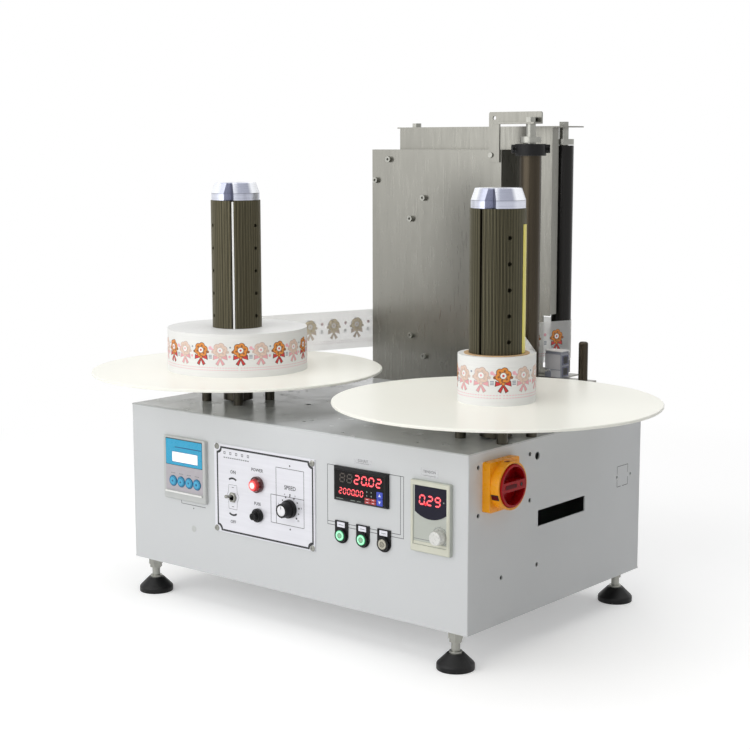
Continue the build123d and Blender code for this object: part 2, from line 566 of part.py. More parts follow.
# =============================== length controller ===============================
x0, x1, z0, z1 = METER
case = slab(x0, x1, -METER_PROUD, 0, z0, z1)
case = fillet(case.edges().filter_by(Axis.Y), 3.0)
case = chamfer(case.faces().sort_by(Axis.Y)[0].edges(), 1.2)
case += slab(x0 + CASE_IN, x1 - CASE_IN, 0, 62, z0 + CASE_IN, z1 - CASE_IN)
case -= slab(x0 + 5.5, x1 - 5.5, -METER_PROUD - 1, -METER_PROUD + 1, 159.0, z1 - 3.5)
pocket = slab(KEY_X[0] - 11, KEY_X[-1] + 11, -METER_PROUD + 1.5, -1, KEY_Z - 10.5, KEY_Z + 10.5)
case -= pocket
for kx in KEY_X:
    case -= rod_y(kx, KEY_Z, -METER_PROUD - 1, -2, KEY_R + 0.4)
case += slab(x0 + 6, x1 - 6, -METER_PROUD - 2, -METER_PROUD + 1, 117.0, 119.5)
save("length_controller_case", case)

keys = slab(KEY_X[0] - 10.5, KEY_X[-1] + 10.5, -METER_PROUD + 1.9, -METER_PROUD + 3.4, KEY_Z - 10, KEY_Z + 10)
for kx in KEY_X:
    key = rod_y(kx, KEY_Z, -METER_PROUD - 2, -METER_PROUD + 2.5, KEY_R)
    key = fillet(key.edges().filter_by(GeomType.CIRCLE).group_by(Axis.Y)[0], 1.2)
    keys += key
save("lcd_keys", keys)

# =============================== control plate ===============================
x0, x1, z0, z1 = PLATE
plate = slab(x0, x1, -PLATE_T, 0, z0, z1)
plate = fillet(plate.edges().filter_by(Axis.Y), 2.0)
for sx, sz in PLATE_SCREWS:
    plate -= rod_y(sx, sz, -PLATE_T - 1, 1, 2.1)
plate -= rod_y(TOGGLE[0], TOGGLE[1], -PLATE_T - 1, 1, 6.3)
plate -= rod_y(LAMP[0], LAMP[1], -PLATE_T - 1, 1, 8.0)
plate -= rod_y(FUSE[0], FUSE[1], -PLATE_T - 1, 1, 8.0)
plate -= rod_y(KNOB[0], KNOB[1], -PLATE_T - 1, 1, 5.0)
pot = rod_y(KNOB[0], KNOB[1], SHEET, 16, 9.0) + rod_y(KNOB[0], KNOB[1], -1, SHEET + 1, 4.8)
pot -= rod_y(KNOB[0], KNOB[1], -2, 11, KNOB_SHAFT_R + RUN_FIT)
save("control_plate", plate, pot)

tx, tz = TOGGLE
TOGGLE_PIVOT_Y = 7.0
body = slab(tx - 14, tx + 14, SHEET, 32, tz - 18, tz + 18)
body += rod_y(tx, tz, -PLATE_T - 2, SHEET + 1, 6.0)
body += hex_y(tx, tz, -PLATE_T - 1.5, -PLATE_T, 14)
body -= rod_y(tx, tz, -10, 14, 4.2)
body -= slab(tx - 5, tx + 5, 3, 16, tz - 7, tz + 7)
body -= rod_x(TOGGLE_PIVOT_Y, tz, tx - 9, tx + 9, 1.25)
save("toggle_body", body)
lever = Pos(0, 0, 5) * Cylinder(1.9, 20)
lever += Pos(0, 0, 19) * Cone(1.9, 2.7, 8)
lever += Pos(0, 0, 23) * Sphere(2.7)
lever = Rot(90, 0, 0) * lever + Rot(0, 90, 0) * Cylinder(1.2, 17)
save("toggle_lever", at(tx, TOGGLE_PIVOT_Y, tz) * Rot(-TOGGLE_UP_DEG, 0, 0) * lever)

lx, lz = LAMP
lamp = rod_y(lx, lz, -PLATE_T - 4, -PLATE_T, 12.0) + rod_y(lx, lz, -PLATE_T, 24, 7.8)
lamp += taper_y(lx, lz, -PLATE_T - 4, -PLATE_T - 8, 10.5, 8.8)
lens = rod_y(lx, lz, -PLATE_T - 12, -PLATE_T - 8, 8.5)
lamp += fillet(lens.edges().filter_by(GeomType.CIRCLE).group_by(Axis.Y)[0], 3.0)
save("pilot_lamp", lamp)

ux, uz = FUSE
fuse = rod_y(ux, uz, -PLATE_T - 4, -PLATE_T, 10.0) + rod_y(ux, uz, -PLATE_T, 34, 7.0)
fuse += taper_y(ux, uz, -PLATE_T - 4, -PLATE_T - 7, 8.8, 7.5)
fuse += rod_y(ux, uz, -PLATE_T - 13, -PLATE_T - 7, 5.2)
fuse -= slab(ux - 0.8, ux + 0.8, -PLATE_T - 14, -PLATE_T - 11.5, uz - 6, uz + 6)
save("fuse_holder", fuse)

kx, kz = KNOB
knob = taper_y(kx, kz, -PLATE_T - 0.4, -PLATE_T - 6, 13.4, 13.0)
knob += taper_y(kx, kz, -PLATE_T - 6, -PLATE_T - 18.5, 11.6, 10.0)
for k in range(18):
    gx, gz = polar(kx, kz, 12.2, 20 * k)
    knob -= rod_y(gx, gz, -PLATE_T - 19, -PLATE_T - 6, 1.1)
knob += rod_y(kx, kz, -PLATE_T - 0.4, 10, KNOB_SHAFT_R)
save("speed_knob", knob)

# =============================== counter and buttons ===============================
x0, x1, z0, z1 = COUNTER
counter = slab(x0, x1, -COUNTER_PROUD, 0, z0, z1)
counter = chamfer(counter.faces().sort_by(Axis.Y)[0].edges(), 2.5)
counter += slab(x0 + CASE_IN, x1 - CASE_IN, 0, 78, z0 + CASE_IN, z1 - CASE_IN)
counter -= slab(x0 + 5, x1 - 5, -COUNTER_PROUD - 1, -COUNTER_PROUD + 1.2, z0 + 5, z1 - 5)
save("counter_case", counter)

tx0, tx1, tz0, tz1 = TENSION
tension = slab(tx0, tx1, -TENSION_PROUD, 0, tz0, tz1)
tension = fillet(tension.edges().filter_by(Axis.Y), 2.0)
tension = chamfer(tension.faces().sort_by(Axis.Y)[0].edges(), 1.5)
tension -= slab(tx0 + 5, tx1 - 5, -TENSION_PROUD - 1, -TENSION_PROUD + 1.5, tz0 + 10, tz1 - 6.5)
tension += slab(tx0 + CASE_IN, tx1 - CASE_IN, 0, 55, tz0 + CASE_IN, tz1 - CASE_IN)
nx, nz = TENSION_KNOB
tension -= rod_y(nx, nz, -TENSION_PROUD - 1, 12, KNOB_SHAFT_R + RUN_FIT)
save("tension_case", tension)
tknob = taper_y(nx, nz, -TENSION_PROUD + 1, -TENSION_PROUD - 11, 10.5, 9.3)
tknob = fillet(tknob.edges().filter_by(GeomType.CIRCLE).group_by(Axis.Y)[0], 1.5)
for k in range(24):
    gx, gz = polar(nx, nz, 11.1, 15 * k)
    tknob -= rod_y(gx, gz, -TENSION_PROUD - 12, -TENSION_PROUD + 2, 0.8)
tknob += rod_y(nx, nz, -TENSION_PROUD, 10, KNOB_SHAFT_R)
save("tension_knob", tknob)

lcd_window = slab(METER[0] + 5.8, METER[1] - 5.8, -METER_PROUD, -METER_PROUD + 1, 159.3, METER[3] - 3.8)
counter_window = slab(x0 + 5.3, x1 - 5.3, -COUNTER_PROUD + 0.3, -COUNTER_PROUD + 1.2, z0 + 5.3, z1 - 5.3)
tension_window = slab(tx0 + 8, tx1 - 6, -TENSION_PROUD + 0.5, -TENSION_PROUD + 1.5, 158, 193.4)
belly = rod_y((tx0 + tx1) / 2 + 1, 193.4, -TENSION_PROUD + 0.5, -TENSION_PROUD + 1.5, 43.6)
belly = belly & slab(tx0 + 8, tx1 - 6, -TENSION_PROUD, -TENSION_PROUD + 2, 145, 159)
save("display_windows", lcd_window, counter_window, tension_window + belly)

bodies = []
for bx in BUTTON_X:
    legend = slab(bx - 11.5, bx + 11.5, -2.0, 0, BUTTON_Z, BUTTON_Z + 20)
    legend += rod_y(bx, BUTTON_Z, -2.0, 0, 11.5)
    legend += rod_y(bx, BUTTON_Z, -5.0, 0, 9.8)
    legend += rod_y(bx, BUTTON_Z, 0, 30, 7.8)
    legend -= rod_y(bx, BUTTON_Z, -10, 6, BUTTON_R + 0.15)
    legend += rod_y(bx, BUTTON_Z, 6, 8, 7.8)
    bodies.append(legend)
save("button_bodies", *bodies)
for name, bx in zip(("start_button", "run_button", "stop_button"), BUTTON_X):
    plunger = rod_y(bx, BUTTON_Z, -6.0, 3.2, BUTTON_R - 0.1)
    plunger = fillet(plunger.edges().filter_by(GeomType.CIRCLE).group_by(Axis.Y)[0], 1.0)
    save(name, plunger)

# =============================== right side ===============================
iy, iz = ISOLATOR
base = slab(CAB_W, CAB_W + ISO_BASE_T, iy - ISO_BASE / 2, iy + ISO_BASE / 2, iz - ISO_BASE / 2, iz + ISO_BASE / 2)
base = fillet(base.edges().filter_by(Axis.X), 3.0)
base += rod_x(iy, iz, CAB_W + ISO_BASE_T, CAB_W + ISO_RING_OUT, ISO_RING_R)
base -= rod_x(iy, iz, CAB_W + ISO_POCKET, CAB_W + ISO_RING_OUT + 1, ISO_HANDLE_R + 0.6)
base += rod_x(iy, iz, CAB_W - 18, CAB_W, 10.8)
base -= rod_x(iy, iz, CAB_W - 10, CAB_W + 25, 5.3)
save("isolator_base", base)
handle = rod_x(iy, iz, CAB_W + ISO_POCKET + 0.4, CAB_W + ISO_HANDLE_OUT, ISO_HANDLE_R)
handle = fillet(handle.edges().filter_by(GeomType.CIRCLE).group_by(Axis.X)[-1], 1.2)
scoop = rod_x(iy, iz, CAB_W + ISO_HANDLE_OUT - ISO_RECESS, CAB_W + ISO_HANDLE_OUT + 1, ISO_RECESS_R)
bar = slab(CAB_W, CAB_W + 40, iy - 30, iy + 30, iz - ISO_GRIP_HALF, iz + ISO_GRIP_HALF)
handle -= scoop - bar
handle += rod_x(iy, iz, CAB_W - 8, CAB_W + ISO_POCKET + 1, 5.2)
save("isolator_handle", handle)

qx, qz = INLET
inlet = slab(qx - 25, qx + 25, CAB_D, CAB_D + 4, qz - 16, qz + 16)
inlet += slab(qx - 13.5, qx + 13.5, CAB_D - 24, CAB_D, qz - 9.5, qz + 9.5)
inlet -= slab(qx - 11, qx + 11, CAB_D - 16, CAB_D + 6, qz - 7.5, qz + 7.5)
for px in (-7, 0, 7):
    inlet += slab(qx + px - 1, qx + px + 1, CAB_D - 18, CAB_D - 2, qz - 2, qz + 2)
save("mains_inlet", inlet)

supply = slab(250, 450, 230, 340, SHEET, 52)
save("power_supply", supply)
board = slab(250, 430, 80, 82, 20, 100)
board += slab(270, 300, 82, 110, 30, 60)
board += slab(330, 400, 82, 100, 40, 80)
for px in (255, 425):
    board += slab(px - 5, px + 5, 80, 100, SHEET, 20.5)
save("motor_drive_board", board)
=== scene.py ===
import math

import bmesh
import bpy
from mathutils import Matrix, Vector
from mathutils.geometry import tessellate_polygon


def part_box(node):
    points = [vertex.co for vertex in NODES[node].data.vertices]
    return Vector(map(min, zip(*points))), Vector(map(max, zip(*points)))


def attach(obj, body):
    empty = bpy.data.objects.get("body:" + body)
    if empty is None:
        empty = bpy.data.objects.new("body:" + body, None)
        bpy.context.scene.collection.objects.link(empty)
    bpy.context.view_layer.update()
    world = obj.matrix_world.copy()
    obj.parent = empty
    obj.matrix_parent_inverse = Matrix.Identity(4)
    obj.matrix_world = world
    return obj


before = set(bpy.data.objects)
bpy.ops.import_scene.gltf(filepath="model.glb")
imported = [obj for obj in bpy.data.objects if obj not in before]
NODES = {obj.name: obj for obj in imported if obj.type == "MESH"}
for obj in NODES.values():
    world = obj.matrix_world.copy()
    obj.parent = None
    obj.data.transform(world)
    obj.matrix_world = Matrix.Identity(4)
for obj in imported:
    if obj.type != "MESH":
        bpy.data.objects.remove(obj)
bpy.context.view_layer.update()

# Bench-top label rewinder. Sizes below are millimetres from the cabinet's lower left front
# corner, as in the part's source; P() moves them into the frame, in metres.
OX, OY, OZ = -354.0, -219.5, 53.0
link = bpy.context.scene.collection.objects.link

# Places that several pieces share.
LEFT_X, RIGHT_X, AXIS_Y = 108.0, 600.0, 124.0      # upright axes of the turntables
# GROOVE_R to LAND_R is where the mandrels' painted groove shade gives way to the land colour.
MANDREL_R, GROOVE_R, LAND_R = 38.1, 37.4, 38.0     # outside, and where its two tones begin
ROLL_TOP, LABEL_MID, STRIPE_Z = 358.95, 329.0, (308.2, 304.6)             # heights
TOGGLE, SPEED, TENSION = (218.5, 125.5), (332.5, 125.5), (603.5, 128.8)   # x and z of each axis
LAMP, BUTTON_X, BUTTON_Z = (269.5, 152.0), (429.0, 467.5, 505.0), 102.5
ISOLATOR_Y, ISOLATOR_Z, ISOLATOR_R, ISOLATOR_FACE = 64.0, 195.0, 32.5, 657.0
FEET = ((30.0, 15.0), (615.0, 15.0), (30.0, 422.0), (615.0, 422.0))
THIN = 0.01                                        # print starts this far off its label


def P(x, y, z):
    return Vector(((x + OX) / 1000, (y + OY) / 1000, (z + OZ) / 1000))


def srgb(r, g, b):
    """0-255 display values to linear."""
    out = []
    for c in (r, g, b):
        c /= 255
        out.append(c / 12.92 if c <= 0.04045 else ((c + 0.055) / 1.055) ** 2.4)
    return (*out, 1.0)


# ---- shader helpers
def fill(tree, node, inputs):
    """Set a node's inputs; each is a value or a socket to link."""
    for key, value in inputs.items():
        if isinstance(value, bpy.types.NodeSocket):
            tree.links.new(value, node.inputs[key])
        else:
            node.inputs[key].default_value = value


def add(tree, kind, inputs=None, **props):
    node = tree.nodes.new("ShaderNode" + kind)
    for key, value in props.items():
        setattr(node, key, value)
    fill(tree, node, inputs or {})
    return node


def math_node(tree, op, a, b=None):
    return add(tree, "Math", {0: a} if b is None else {0: a, 1: b}, operation=op).outputs[0]


def spread(tree, value, low, high, lo=0.3, hi=0.7):
    """Map a texture value onto a range."""
    limits = {"From Min": lo, "From Max": hi, "To Min": low, "To Max": high}
    return add(tree, "MapRange", {"Value": value, **limits}).outputs["Result"]


def mix(tree, factor, a, b):
    node = add(tree, "Mix", data_type="RGBA")
    fill(tree, node, {0: factor, 6: a, 7: b})
    return node.outputs[2]


def step_at(tree, value, edge, soft=0.00002):
    """0 below the edge, 1 above it."""
    return spread(tree, value, 0.0, 1.0, edge - soft, edge + soft)


def start(name):
    mat = bpy.data.materials.new(name)
    mat.use_nodes = True
    tree = mat.node_tree
    tree.nodes.clear()
    out = tree.nodes.new("ShaderNodeOutputMaterial")
    bsdf = tree.nodes.new("ShaderNodeBsdfPrincipled")
    tree.links.new(bsdf.outputs[0], out.inputs[0])
    coord = tree.nodes.new("ShaderNodeTexCoord").outputs["Object"]
    return mat, tree, bsdf, coord


def scaled(tree, coord, factors):
    return add(tree, "VectorMath", {0: coord, 1: factors}, operation="MULTIPLY").outputs[0]


def noise(tree, vector, scale, detail, roughness=0.5):
    inputs = {"Vector": vector, "Scale": scale, "Detail": detail, "Roughness": roughness}
    return add(tree, "TexNoise", inputs).outputs["Fac"]


def on_line(tree, value):
    """A value as a point on the X axis, so that noise varies along one measure only."""
    return add(tree, "CombineXYZ", {0: value}).outputs[0]


def dent(tree, bsdf, height, strength, distance, flat=False):
    """Fine bump; flat starts from the face's own normal in place of the smoothed one."""
    bump = add(tree, "Bump", {"Height": height, "Strength": strength, "Distance": distance})
    if flat:
        tree.links.new(add(tree, "NewGeometry").outputs["True Normal"], bump.inputs["Normal"])
    tree.links.new(bump.outputs[0], bsdf.inputs["Normal"])


def shade(color, factor):
    return (*(min(1.0, c * factor) for c in color[:3]), 1.0)


def surface(name, color, rough, metal=0.0, vary=0.05, vary_scale=25.0, stretch=(1, 1, 1), rough_vary=0.06,
            grain=0.0, grain_scale=900.0, grain_depth=0.00005, coat=0.0, edge=0.0, zones=(), emit=0.0,
            specks=0.0, dust=0.0, spec=0.5, flat=False):
    """Procedural finish: mottled colour, uneven gloss, fine bump, lighter worn edges, colour by zone."""
    mat, tree, bsdf, coord = start(name)
    lined = scaled(tree, coord, stretch)
    broad = noise(tree, lined, vary_scale, 4.0)
    tone = mix(tree, spread(tree, broad, 0.0, 1.0), shade(color, 1 - vary), shade(color, 1 + vary))
    if zones:
        xyz = add(tree, "SeparateXYZ", {0: coord})
        for axis, limit, above in zones:
            tone = mix(tree, step_at(tree, xyz.outputs[axis], limit), tone, above)
    if specks:
        dots = noise(tree, coord, 1500.0, 1.0)
        tone = mix(tree, spread(tree, dots, 0.0, specks, 0.6, 0.75), tone, shade(color, 0.45))
    if dust:
        cloud = noise(tree, coord, 9.0, 6.0, 0.7)
        tone = mix(tree, spread(tree, cloud, 0.0, dust, 0.45, 0.75), tone, (0.55, 0.54, 0.5, 1))
    if edge:
        round_n = add(tree, "Bevel", {"Radius": 0.0006}, samples=4).outputs[0]
        true_n = add(tree, "NewGeometry").outputs["True Normal"]
        dot = add(tree, "VectorMath", {0: round_n, 1: true_n}, operation="DOT_PRODUCT")
        worn = spread(tree, dot.outputs["Value"], edge, 0.0, 0.75, 0.97)
        tone = mix(tree, worn, tone, shade(color, 1.6) if metal else (0.62, 0.62, 0.6, 1))
    fine = spread(tree, noise(tree, lined, vary_scale * 5, 2.0), rough - rough_vary, rough + rough_vary)
    fill(tree, bsdf, {"Base Color": tone, "Roughness": fine, "Metallic": metal, "Coat Weight": coat,
                      "Coat Roughness": 0.08, "Specular IOR Level": spec})
    if grain:
        dent(tree, bsdf, noise(tree, lined, grain_scale, 3.0), grain, grain_depth, flat)
    if emit:
        fill(tree, bsdf, {"Emission Color": tone, "Emission Strength": emit})
    return mat


def around(tree, coord, x, y):
    """Distance and angle about an upright axis, in metres and radians."""
    centre = P(x, y, 0)
    off = add(tree, "VectorMath", {0: coord, 1: (centre.x, centre.y, 0)}, operation="SUBTRACT")
    flat = scaled(tree, off.outputs[0], (1, 1, 0))
    far = add(tree, "VectorMath", {0: flat}, operation="LENGTH").outputs["Value"]
    xyz = add(tree, "SeparateXYZ", {0: flat})
    return far, math_node(tree, "ARCTAN2", xyz.outputs[1], xyz.outputs[0])


def paper_roll(name, x, color, lines=1500.0):
    """White label stock: fine windings on its faces, faint banding round its edge."""
    mat, tree, bsdf, coord = start(name)
    far, _ = around(tree, coord, x, AXIS_Y)
    z = add(tree, "SeparateXYZ", {0: coord}).outputs[2]
    wobble = noise(tree, coord, 14.0, 3.0)
    wound = noise(tree, on_line(tree, math_node(tree, "MULTIPLY", far, lines)), 1.0, 4.0, 0.7)
    tone = mix(tree, spread(tree, wound, 0.0, 0.75, 0.35, 0.7), color, shade(color, 0.72))
    face = step_at(tree, z, P(0, 0, ROLL_TOP).z, 0.00004)
    band = noise(tree, scaled(tree, coord, (3, 3, 90)), 9.0, 3.0)
    wall = mix(tree, spread(tree, band, 0.0, 1.0), color, shade(color, 0.93))
    tone = mix(tree, face, wall, tone)
    tone = mix(tree, spread(tree, wobble, 0.0, 0.25), tone, shade(color, 0.93))
    fill(tree, bsdf, {"Base Color": tone, "Roughness": spread(tree, wobble, 0.42, 0.55)})
    dent(tree, bsdf, wound, 0.5, 0.0002)
    return mat


def turned_cap(name, node, x, phase):
    """Turned aluminium: tool marks round the axis, with painted highlight in bright and grey sweeps round
    it, and painted shade in the groove under the cone and down in the notches.
    """
    mat, tree, bsdf, coord = start(name)
    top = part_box(node)[1][2]
    # Heights of the cone's foot, the groove below it and the crown's edge; the cone's radius and slope.
    cone_foot, groove_foot, crown = top - 0.0158, top - 0.0168, top - 0.0012
    foot_r, cone_slope = 0.0360, 0.348
    far, turn = around(tree, coord, x, AXIS_Y)
    z = add(tree, "SeparateXYZ", {0: coord}).outputs[2]

    def calc(op, a, b):
        return math_node(tree, op, a, b)

    def below(level):
        return calc("SUBTRACT", 1.0, step_at(tree, z, level, 0.0001))

    band = below(cone_foot)
    # Bright and grey sweeps round the axis: painted highlight and reflection of the turned cone.
    swing = calc("ADD", calc("MULTIPLY", turn, 6.0), phase)
    slow = math_node(tree, "SINE", calc("MULTIPLY", swing, 0.41))
    sheen_sweep = spread(tree, calc("ADD", math_node(tree, "SINE", swing), slow), 0.0, 1.0, -0.75, 0.85)
    marks = noise(tree, on_line(tree, calc("MULTIPLY", calc("ADD", far, z), 1600.0)), 1.0, 2.0)
    tone = mix(tree, sheen_sweep, srgb(160, 163, 178), srgb(246, 248, 253))
    ringed = mix(tree, spread(tree, marks, 0.0, 1.0, 0.35, 0.65), srgb(168, 171, 190), srgb(228, 231, 243))
    tone = mix(tree, calc("MULTIPLY", band, 0.7), tone, ringed)
    # Dark ring in the groove under the cone: painted shade.
    rim = calc("SUBTRACT", band, below(groove_foot))
    tone = mix(tree, calc("MULTIPLY", rim, 0.6), tone, srgb(96, 98, 112))
    # Darker down inside the notches: painted shade.
    over = calc("MAXIMUM", calc("SUBTRACT", z, cone_foot + 0.0003), 0.0)
    skin = calc("SUBTRACT", foot_r, calc("MULTIPLY", over, cone_slope))
    notch_shade = calc("MULTIPLY", step_at(tree, calc("SUBTRACT", skin, far), 0.0, 0.0002), below(crown))
    tone = mix(tree, calc("MULTIPLY", notch_shade, 0.75), tone, srgb(138, 140, 156))
    fill(tree, bsdf, {"Base Color": tone, "Roughness": spread(tree, marks, 0.24, 0.34), "Metallic": 0.9,
                      "Anisotropic": 0.4})
    dent(tree, bsdf, marks, 0.2, 0.00002)
    return mat


def fluted(name, x, groove, land):
    """Anodised extrusion streaked along its length; painted shade makes it darker down in its grooves than
    on the lands, and painted light and shade lines round it stand in for the flutes.
    """
    mat, tree, bsdf, coord = start(name)
    far, turn = around(tree, coord, x, AXIS_Y)
    # Streaks round the axis: drawn marks in the metal, and 51 sine lines that paint the flutes' light and
    # shade.
    drawn = noise(tree, on_line(tree, math_node(tree, "MULTIPLY", turn, 9.0)), 1.0, 2.0)
    lines = math_node(tree, "SINE", math_node(tree, "MULTIPLY", turn, 51.0))
    streak_and_flute_shade = math_node(tree, "MULTIPLY", spread(tree, drawn, 0.8, 1.15),
                       spread(tree, lines, 0.62, 1.2, -1.0, 0.6))
    # Grooves darker than the lands: painted shade.
    tone = mix(tree, spread(tree, far, 0.0, 1.0, GROOVE_R / 1000, LAND_R / 1000), groove, land)
    tone = add(tree, "VectorMath", {0: tone, "Scale": streak_and_flute_shade}, operation="SCALE").outputs[0]
    rub = noise(tree, coord, 45.0, 6.0, 0.75)
    tone = mix(tree, spread(tree, rub, 0.0, 0.15, 0.6, 0.8), tone, shade(land, 1.6))
    fill(tree, bsdf, {"Base Color": tone, "Roughness": spread(tree, rub, 0.36, 0.5), "Metallic": 0.55,
                      "Specular IOR Level": 0.3})
    dent(tree, bsdf, drawn, 0.25, 0.00004)
    return mat


def target(name, x, z, size, stops, emit=0.0, rough=0.25, base=None, base_y=0.0, metal=0.0):
    """Rings of colour about a front-to-back axis; behind base_y the part has its base colour, unlit."""
    mat, tree, bsdf, coord = start(name)
    centre = P(x, 0, z)
    off = add(tree, "VectorMath", {0: coord, 1: (centre.x, 0, centre.z)}, operation="SUBTRACT").outputs[0]
    far = add(tree, "VectorMath", {0: scaled(tree, off, (1, 0, 1))}, operation="LENGTH").outputs["Value"]
    wave = noise(tree, coord, 220.0, 2.0)
    share = math_node(tree, "DIVIDE", far, size / 1000)
    ramp = add(tree, "ValToRGB", {0: math_node(tree, "ADD", share, spread(tree, wave, -0.03, 0.03))})
    for k, (at_r, color) in enumerate(stops):
        slot = ramp.color_ramp.elements[k] if k < 2 else ramp.color_ramp.elements.new(at_r)
        slot.position = at_r
        slot.color = color
    tone = glow = ramp.outputs[0]
    if base:
        y = add(tree, "SeparateXYZ", {0: coord}).outputs[1]
        behind = step_at(tree, y, P(0, base_y, 0).y, 0.0001)
        tone = mix(tree, behind, tone, base)
        glow = mix(tree, behind, tone, (0, 0, 0, 1))
    fill(tree, bsdf, {"Base Color": tone, "Roughness": spread(tree, wave, rough - 0.05, rough + 0.05),
                      "Metallic": metal, "Coat Weight": 0.4})
    if emit:
        fill(tree, bsdf, {"Emission Color": glow, "Emission Strength": emit})
    return mat


def dress(mat, *names):
    """Give CAD nodes a material in every slot."""
    for name in names:
        node = NODES[name]
        if not node.material_slots:
            node.data.materials.append(mat)
        for slot in node.material_slots:
            slot.link = "OBJECT"
            slot.material = mat


# ---- finishes
PAINT, CREAM_PLASTIC = srgb(206, 208, 209), srgb(208, 208, 192)
POWDER = {"vary_scale": 6, "grain_scale": 1100, "edge": 0.35}
MOULDED = {"vary_scale": 50, "grain": 0.35, "grain_scale": 1800}
paint = surface("powder_coat", PAINT, 0.42, vary=0.012, grain=0.35, **POWDER)
paint_side = surface("powder_coat_side", PAINT, 0.42, vary=0.015, grain=0.35, **POWDER)
# The top plate is the same powder coat as the front but darker: painted shade for the platters' shadow and
# their dark reflection on the top.
shaded_top_paint = surface("powder_coat_top_painted_shade", srgb(190, 192, 193), 0.22, vary=0.02, grain=0.12, **POWDER)
cream = surface("cream_enamel", (0.95, 0.945, 0.86, 1), 0.32, vary=0.012, vary_scale=5, rough_vary=0.0,
                spec=0.35)
left_flutes = fluted("left_mandrel_anodised_painted_flutes", LEFT_X, srgb(74, 70, 55), srgb(96, 91, 72))
right_flutes = fluted("right_mandrel_anodised_painted_flutes", RIGHT_X, srgb(66, 63, 49), srgb(88, 84, 66))
stainless = surface("brushed_stainless", srgb(130, 129, 123), 0.31, metal=1.0, vary=0.035, vary_scale=10,
                    stretch=(9, 9, 0.5), rough_vary=0.05, grain=0.08, grain_scale=170, grain_depth=0.00003,
                    edge=0.4, flat=True)
zinc = surface("zinc_plate", srgb(150, 150, 144), 0.34, metal=1.0, vary=0.1, vary_scale=60, grain=0.2,
               edge=0.4)
blackened = surface("blackened_steel", srgb(66, 63, 54), 0.34, metal=0.85, vary=0.2, vary_scale=60,
                    grain=0.2, stretch=(2, 2, 0.5), edge=0.4)
rubber = surface("foot_rubber", srgb(13, 13, 14), 0.42, vary=0.2, vary_scale=40, grain=0.4, grain_scale=700,
                 dust=0.02, spec=0.25)
# Strong upright streaks on the rollers (vary 0.3, noise squeezed along the axis): painted highlight and
# shade streaks standing in for their reflections.
ROLLER_PAINTED_STREAKS = {"vary": 0.3, "vary_scale": 16, "stretch": (4, 4, 0.1), "grain": 0.2, "edge": 0.3, "spec": 0.3}
bronze = surface("front_roller_painted_sheen", srgb(66, 59, 48), 0.3, metal=0.7, **ROLLER_PAINTED_STREAKS)
black_alu = surface("black_roller_painted_sheen", srgb(34, 33, 32), 0.3, metal=0.6, **ROLLER_PAINTED_STREAKS)
clamp = surface("black_clamp_finish", srgb(20, 20, 21), 0.4, vary=0.2, vary_scale=80, grain=0.3, edge=0.3,
                spec=0.2)
plastic_grey = surface("grey_plastic", srgb(192, 194, 192), 0.42, vary=0.03, edge=0.15, **MOULDED)
plastic_black = surface("black_plastic", srgb(16, 16, 18), 0.38, vary=0.15, vary_scale=60, grain=0.4,
                        grain_scale=1800, edge=0.12, spec=0.22)
plastic_cream = surface("cream_plastic", CREAM_PLASTIC, 0.42, vary=0.025, edge=0.15, **MOULDED)
tension_body = surface("tension_case_plastic", CREAM_PLASTIC, 0.42, vary=0.025,
                       zones=((1, P(0, -5.9, 0).y, srgb(184, 188, 180)),), **MOULDED)
plastic_white = surface("white_plastic", srgb(236, 236, 233), 0.36, vary=0.02, vary_scale=60, grain=0.3,
                        grain_scale=1800, edge=0.1)
knob_satin = surface("satin_knob", srgb(216, 216, 212), 0.3, metal=0.15, vary=0.05, vary_scale=60,
                     grain=0.2, grain_scale=1500, edge=0.2)
key_blue = surface("key_rubber", srgb(70, 168, 205), 0.5, vary=0.06, vary_scale=90, grain=0.3, edge=0.1)
glass = surface("window_glass", srgb(12, 8, 9), 0.14, vary=0.2, vary_scale=30, rough_vary=0.03, spec=0.2,
                zones=((0, P(540, 0, 0).x, srgb(24, 22, 40)),))
lamp_red = target("lamp_lens", *LAMP, 8.5,
                  ((0.0, (1.0, 0.86, 0.84, 1)), (1.0, srgb(120, 8, 12)), (0.42, (1.0, 0.62, 0.6, 1)),
                   (0.66, srgb(228, 60, 56)), (0.86, srgb(190, 18, 20))), emit=0.8, rough=0.16,
                  base=srgb(72, 8, 14), base_y=-8.6)
isolator_yellow = surface("isolator_yellow_plastic", srgb(240, 160, 24), 0.3, vary=0.04, vary_scale=40,
                          grain=0.2, grain_scale=1600, edge=0.1, spec=0.35)
isolator_red = surface("isolator_red_plastic", srgb(158, 10, 18), 0.24, vary=0.08, vary_scale=50,
                       grain=0.15, grain_scale=1600, spec=0.14)
plate_alu = surface("printed_plate", srgb(226, 226, 232), 0.34, metal=0.25, vary=0.03, vary_scale=25,
                    stretch=(0.5, 1, 12), grain=0.2, grain_scale=500, edge=0.2)
sensor_case = surface("sensor_plastic", srgb(150, 153, 164), 0.36, vary=0.08, vary_scale=70, grain=0.3,
                      edge=0.2)
motor_paint = surface("motor_paint", srgb(70, 72, 75), 0.45, metal=0.2, vary=0.12, vary_scale=30, grain=0.4)
board_green = surface("board_laminate", srgb(34, 92, 58), 0.4, vary=0.15, vary_scale=90, coat=0.3,
                      grain=0.2)
film = surface("label_film", (0.9, 0.9, 0.885, 1), 0.4, vary=0.03, vary_scale=14, stretch=(1, 1, 3),
               grain=0.1, grain_scale=300, spec=0.4)
film_bsdf = next(n for n in film.node_tree.nodes if n.type == "BSDF_PRINCIPLED")
fill(film.node_tree, film_bsdf, {"Transmission Weight": 0.7, "IOR": 1.12})
card = surface("core_card", srgb(196, 163, 122), 0.75, vary=0.15, vary_scale=120, stretch=(1, 1, 4),
               grain=0.5, grain_scale=1200, specks=0.4)
PAPER = (0.86, 0.86, 0.845, 1)
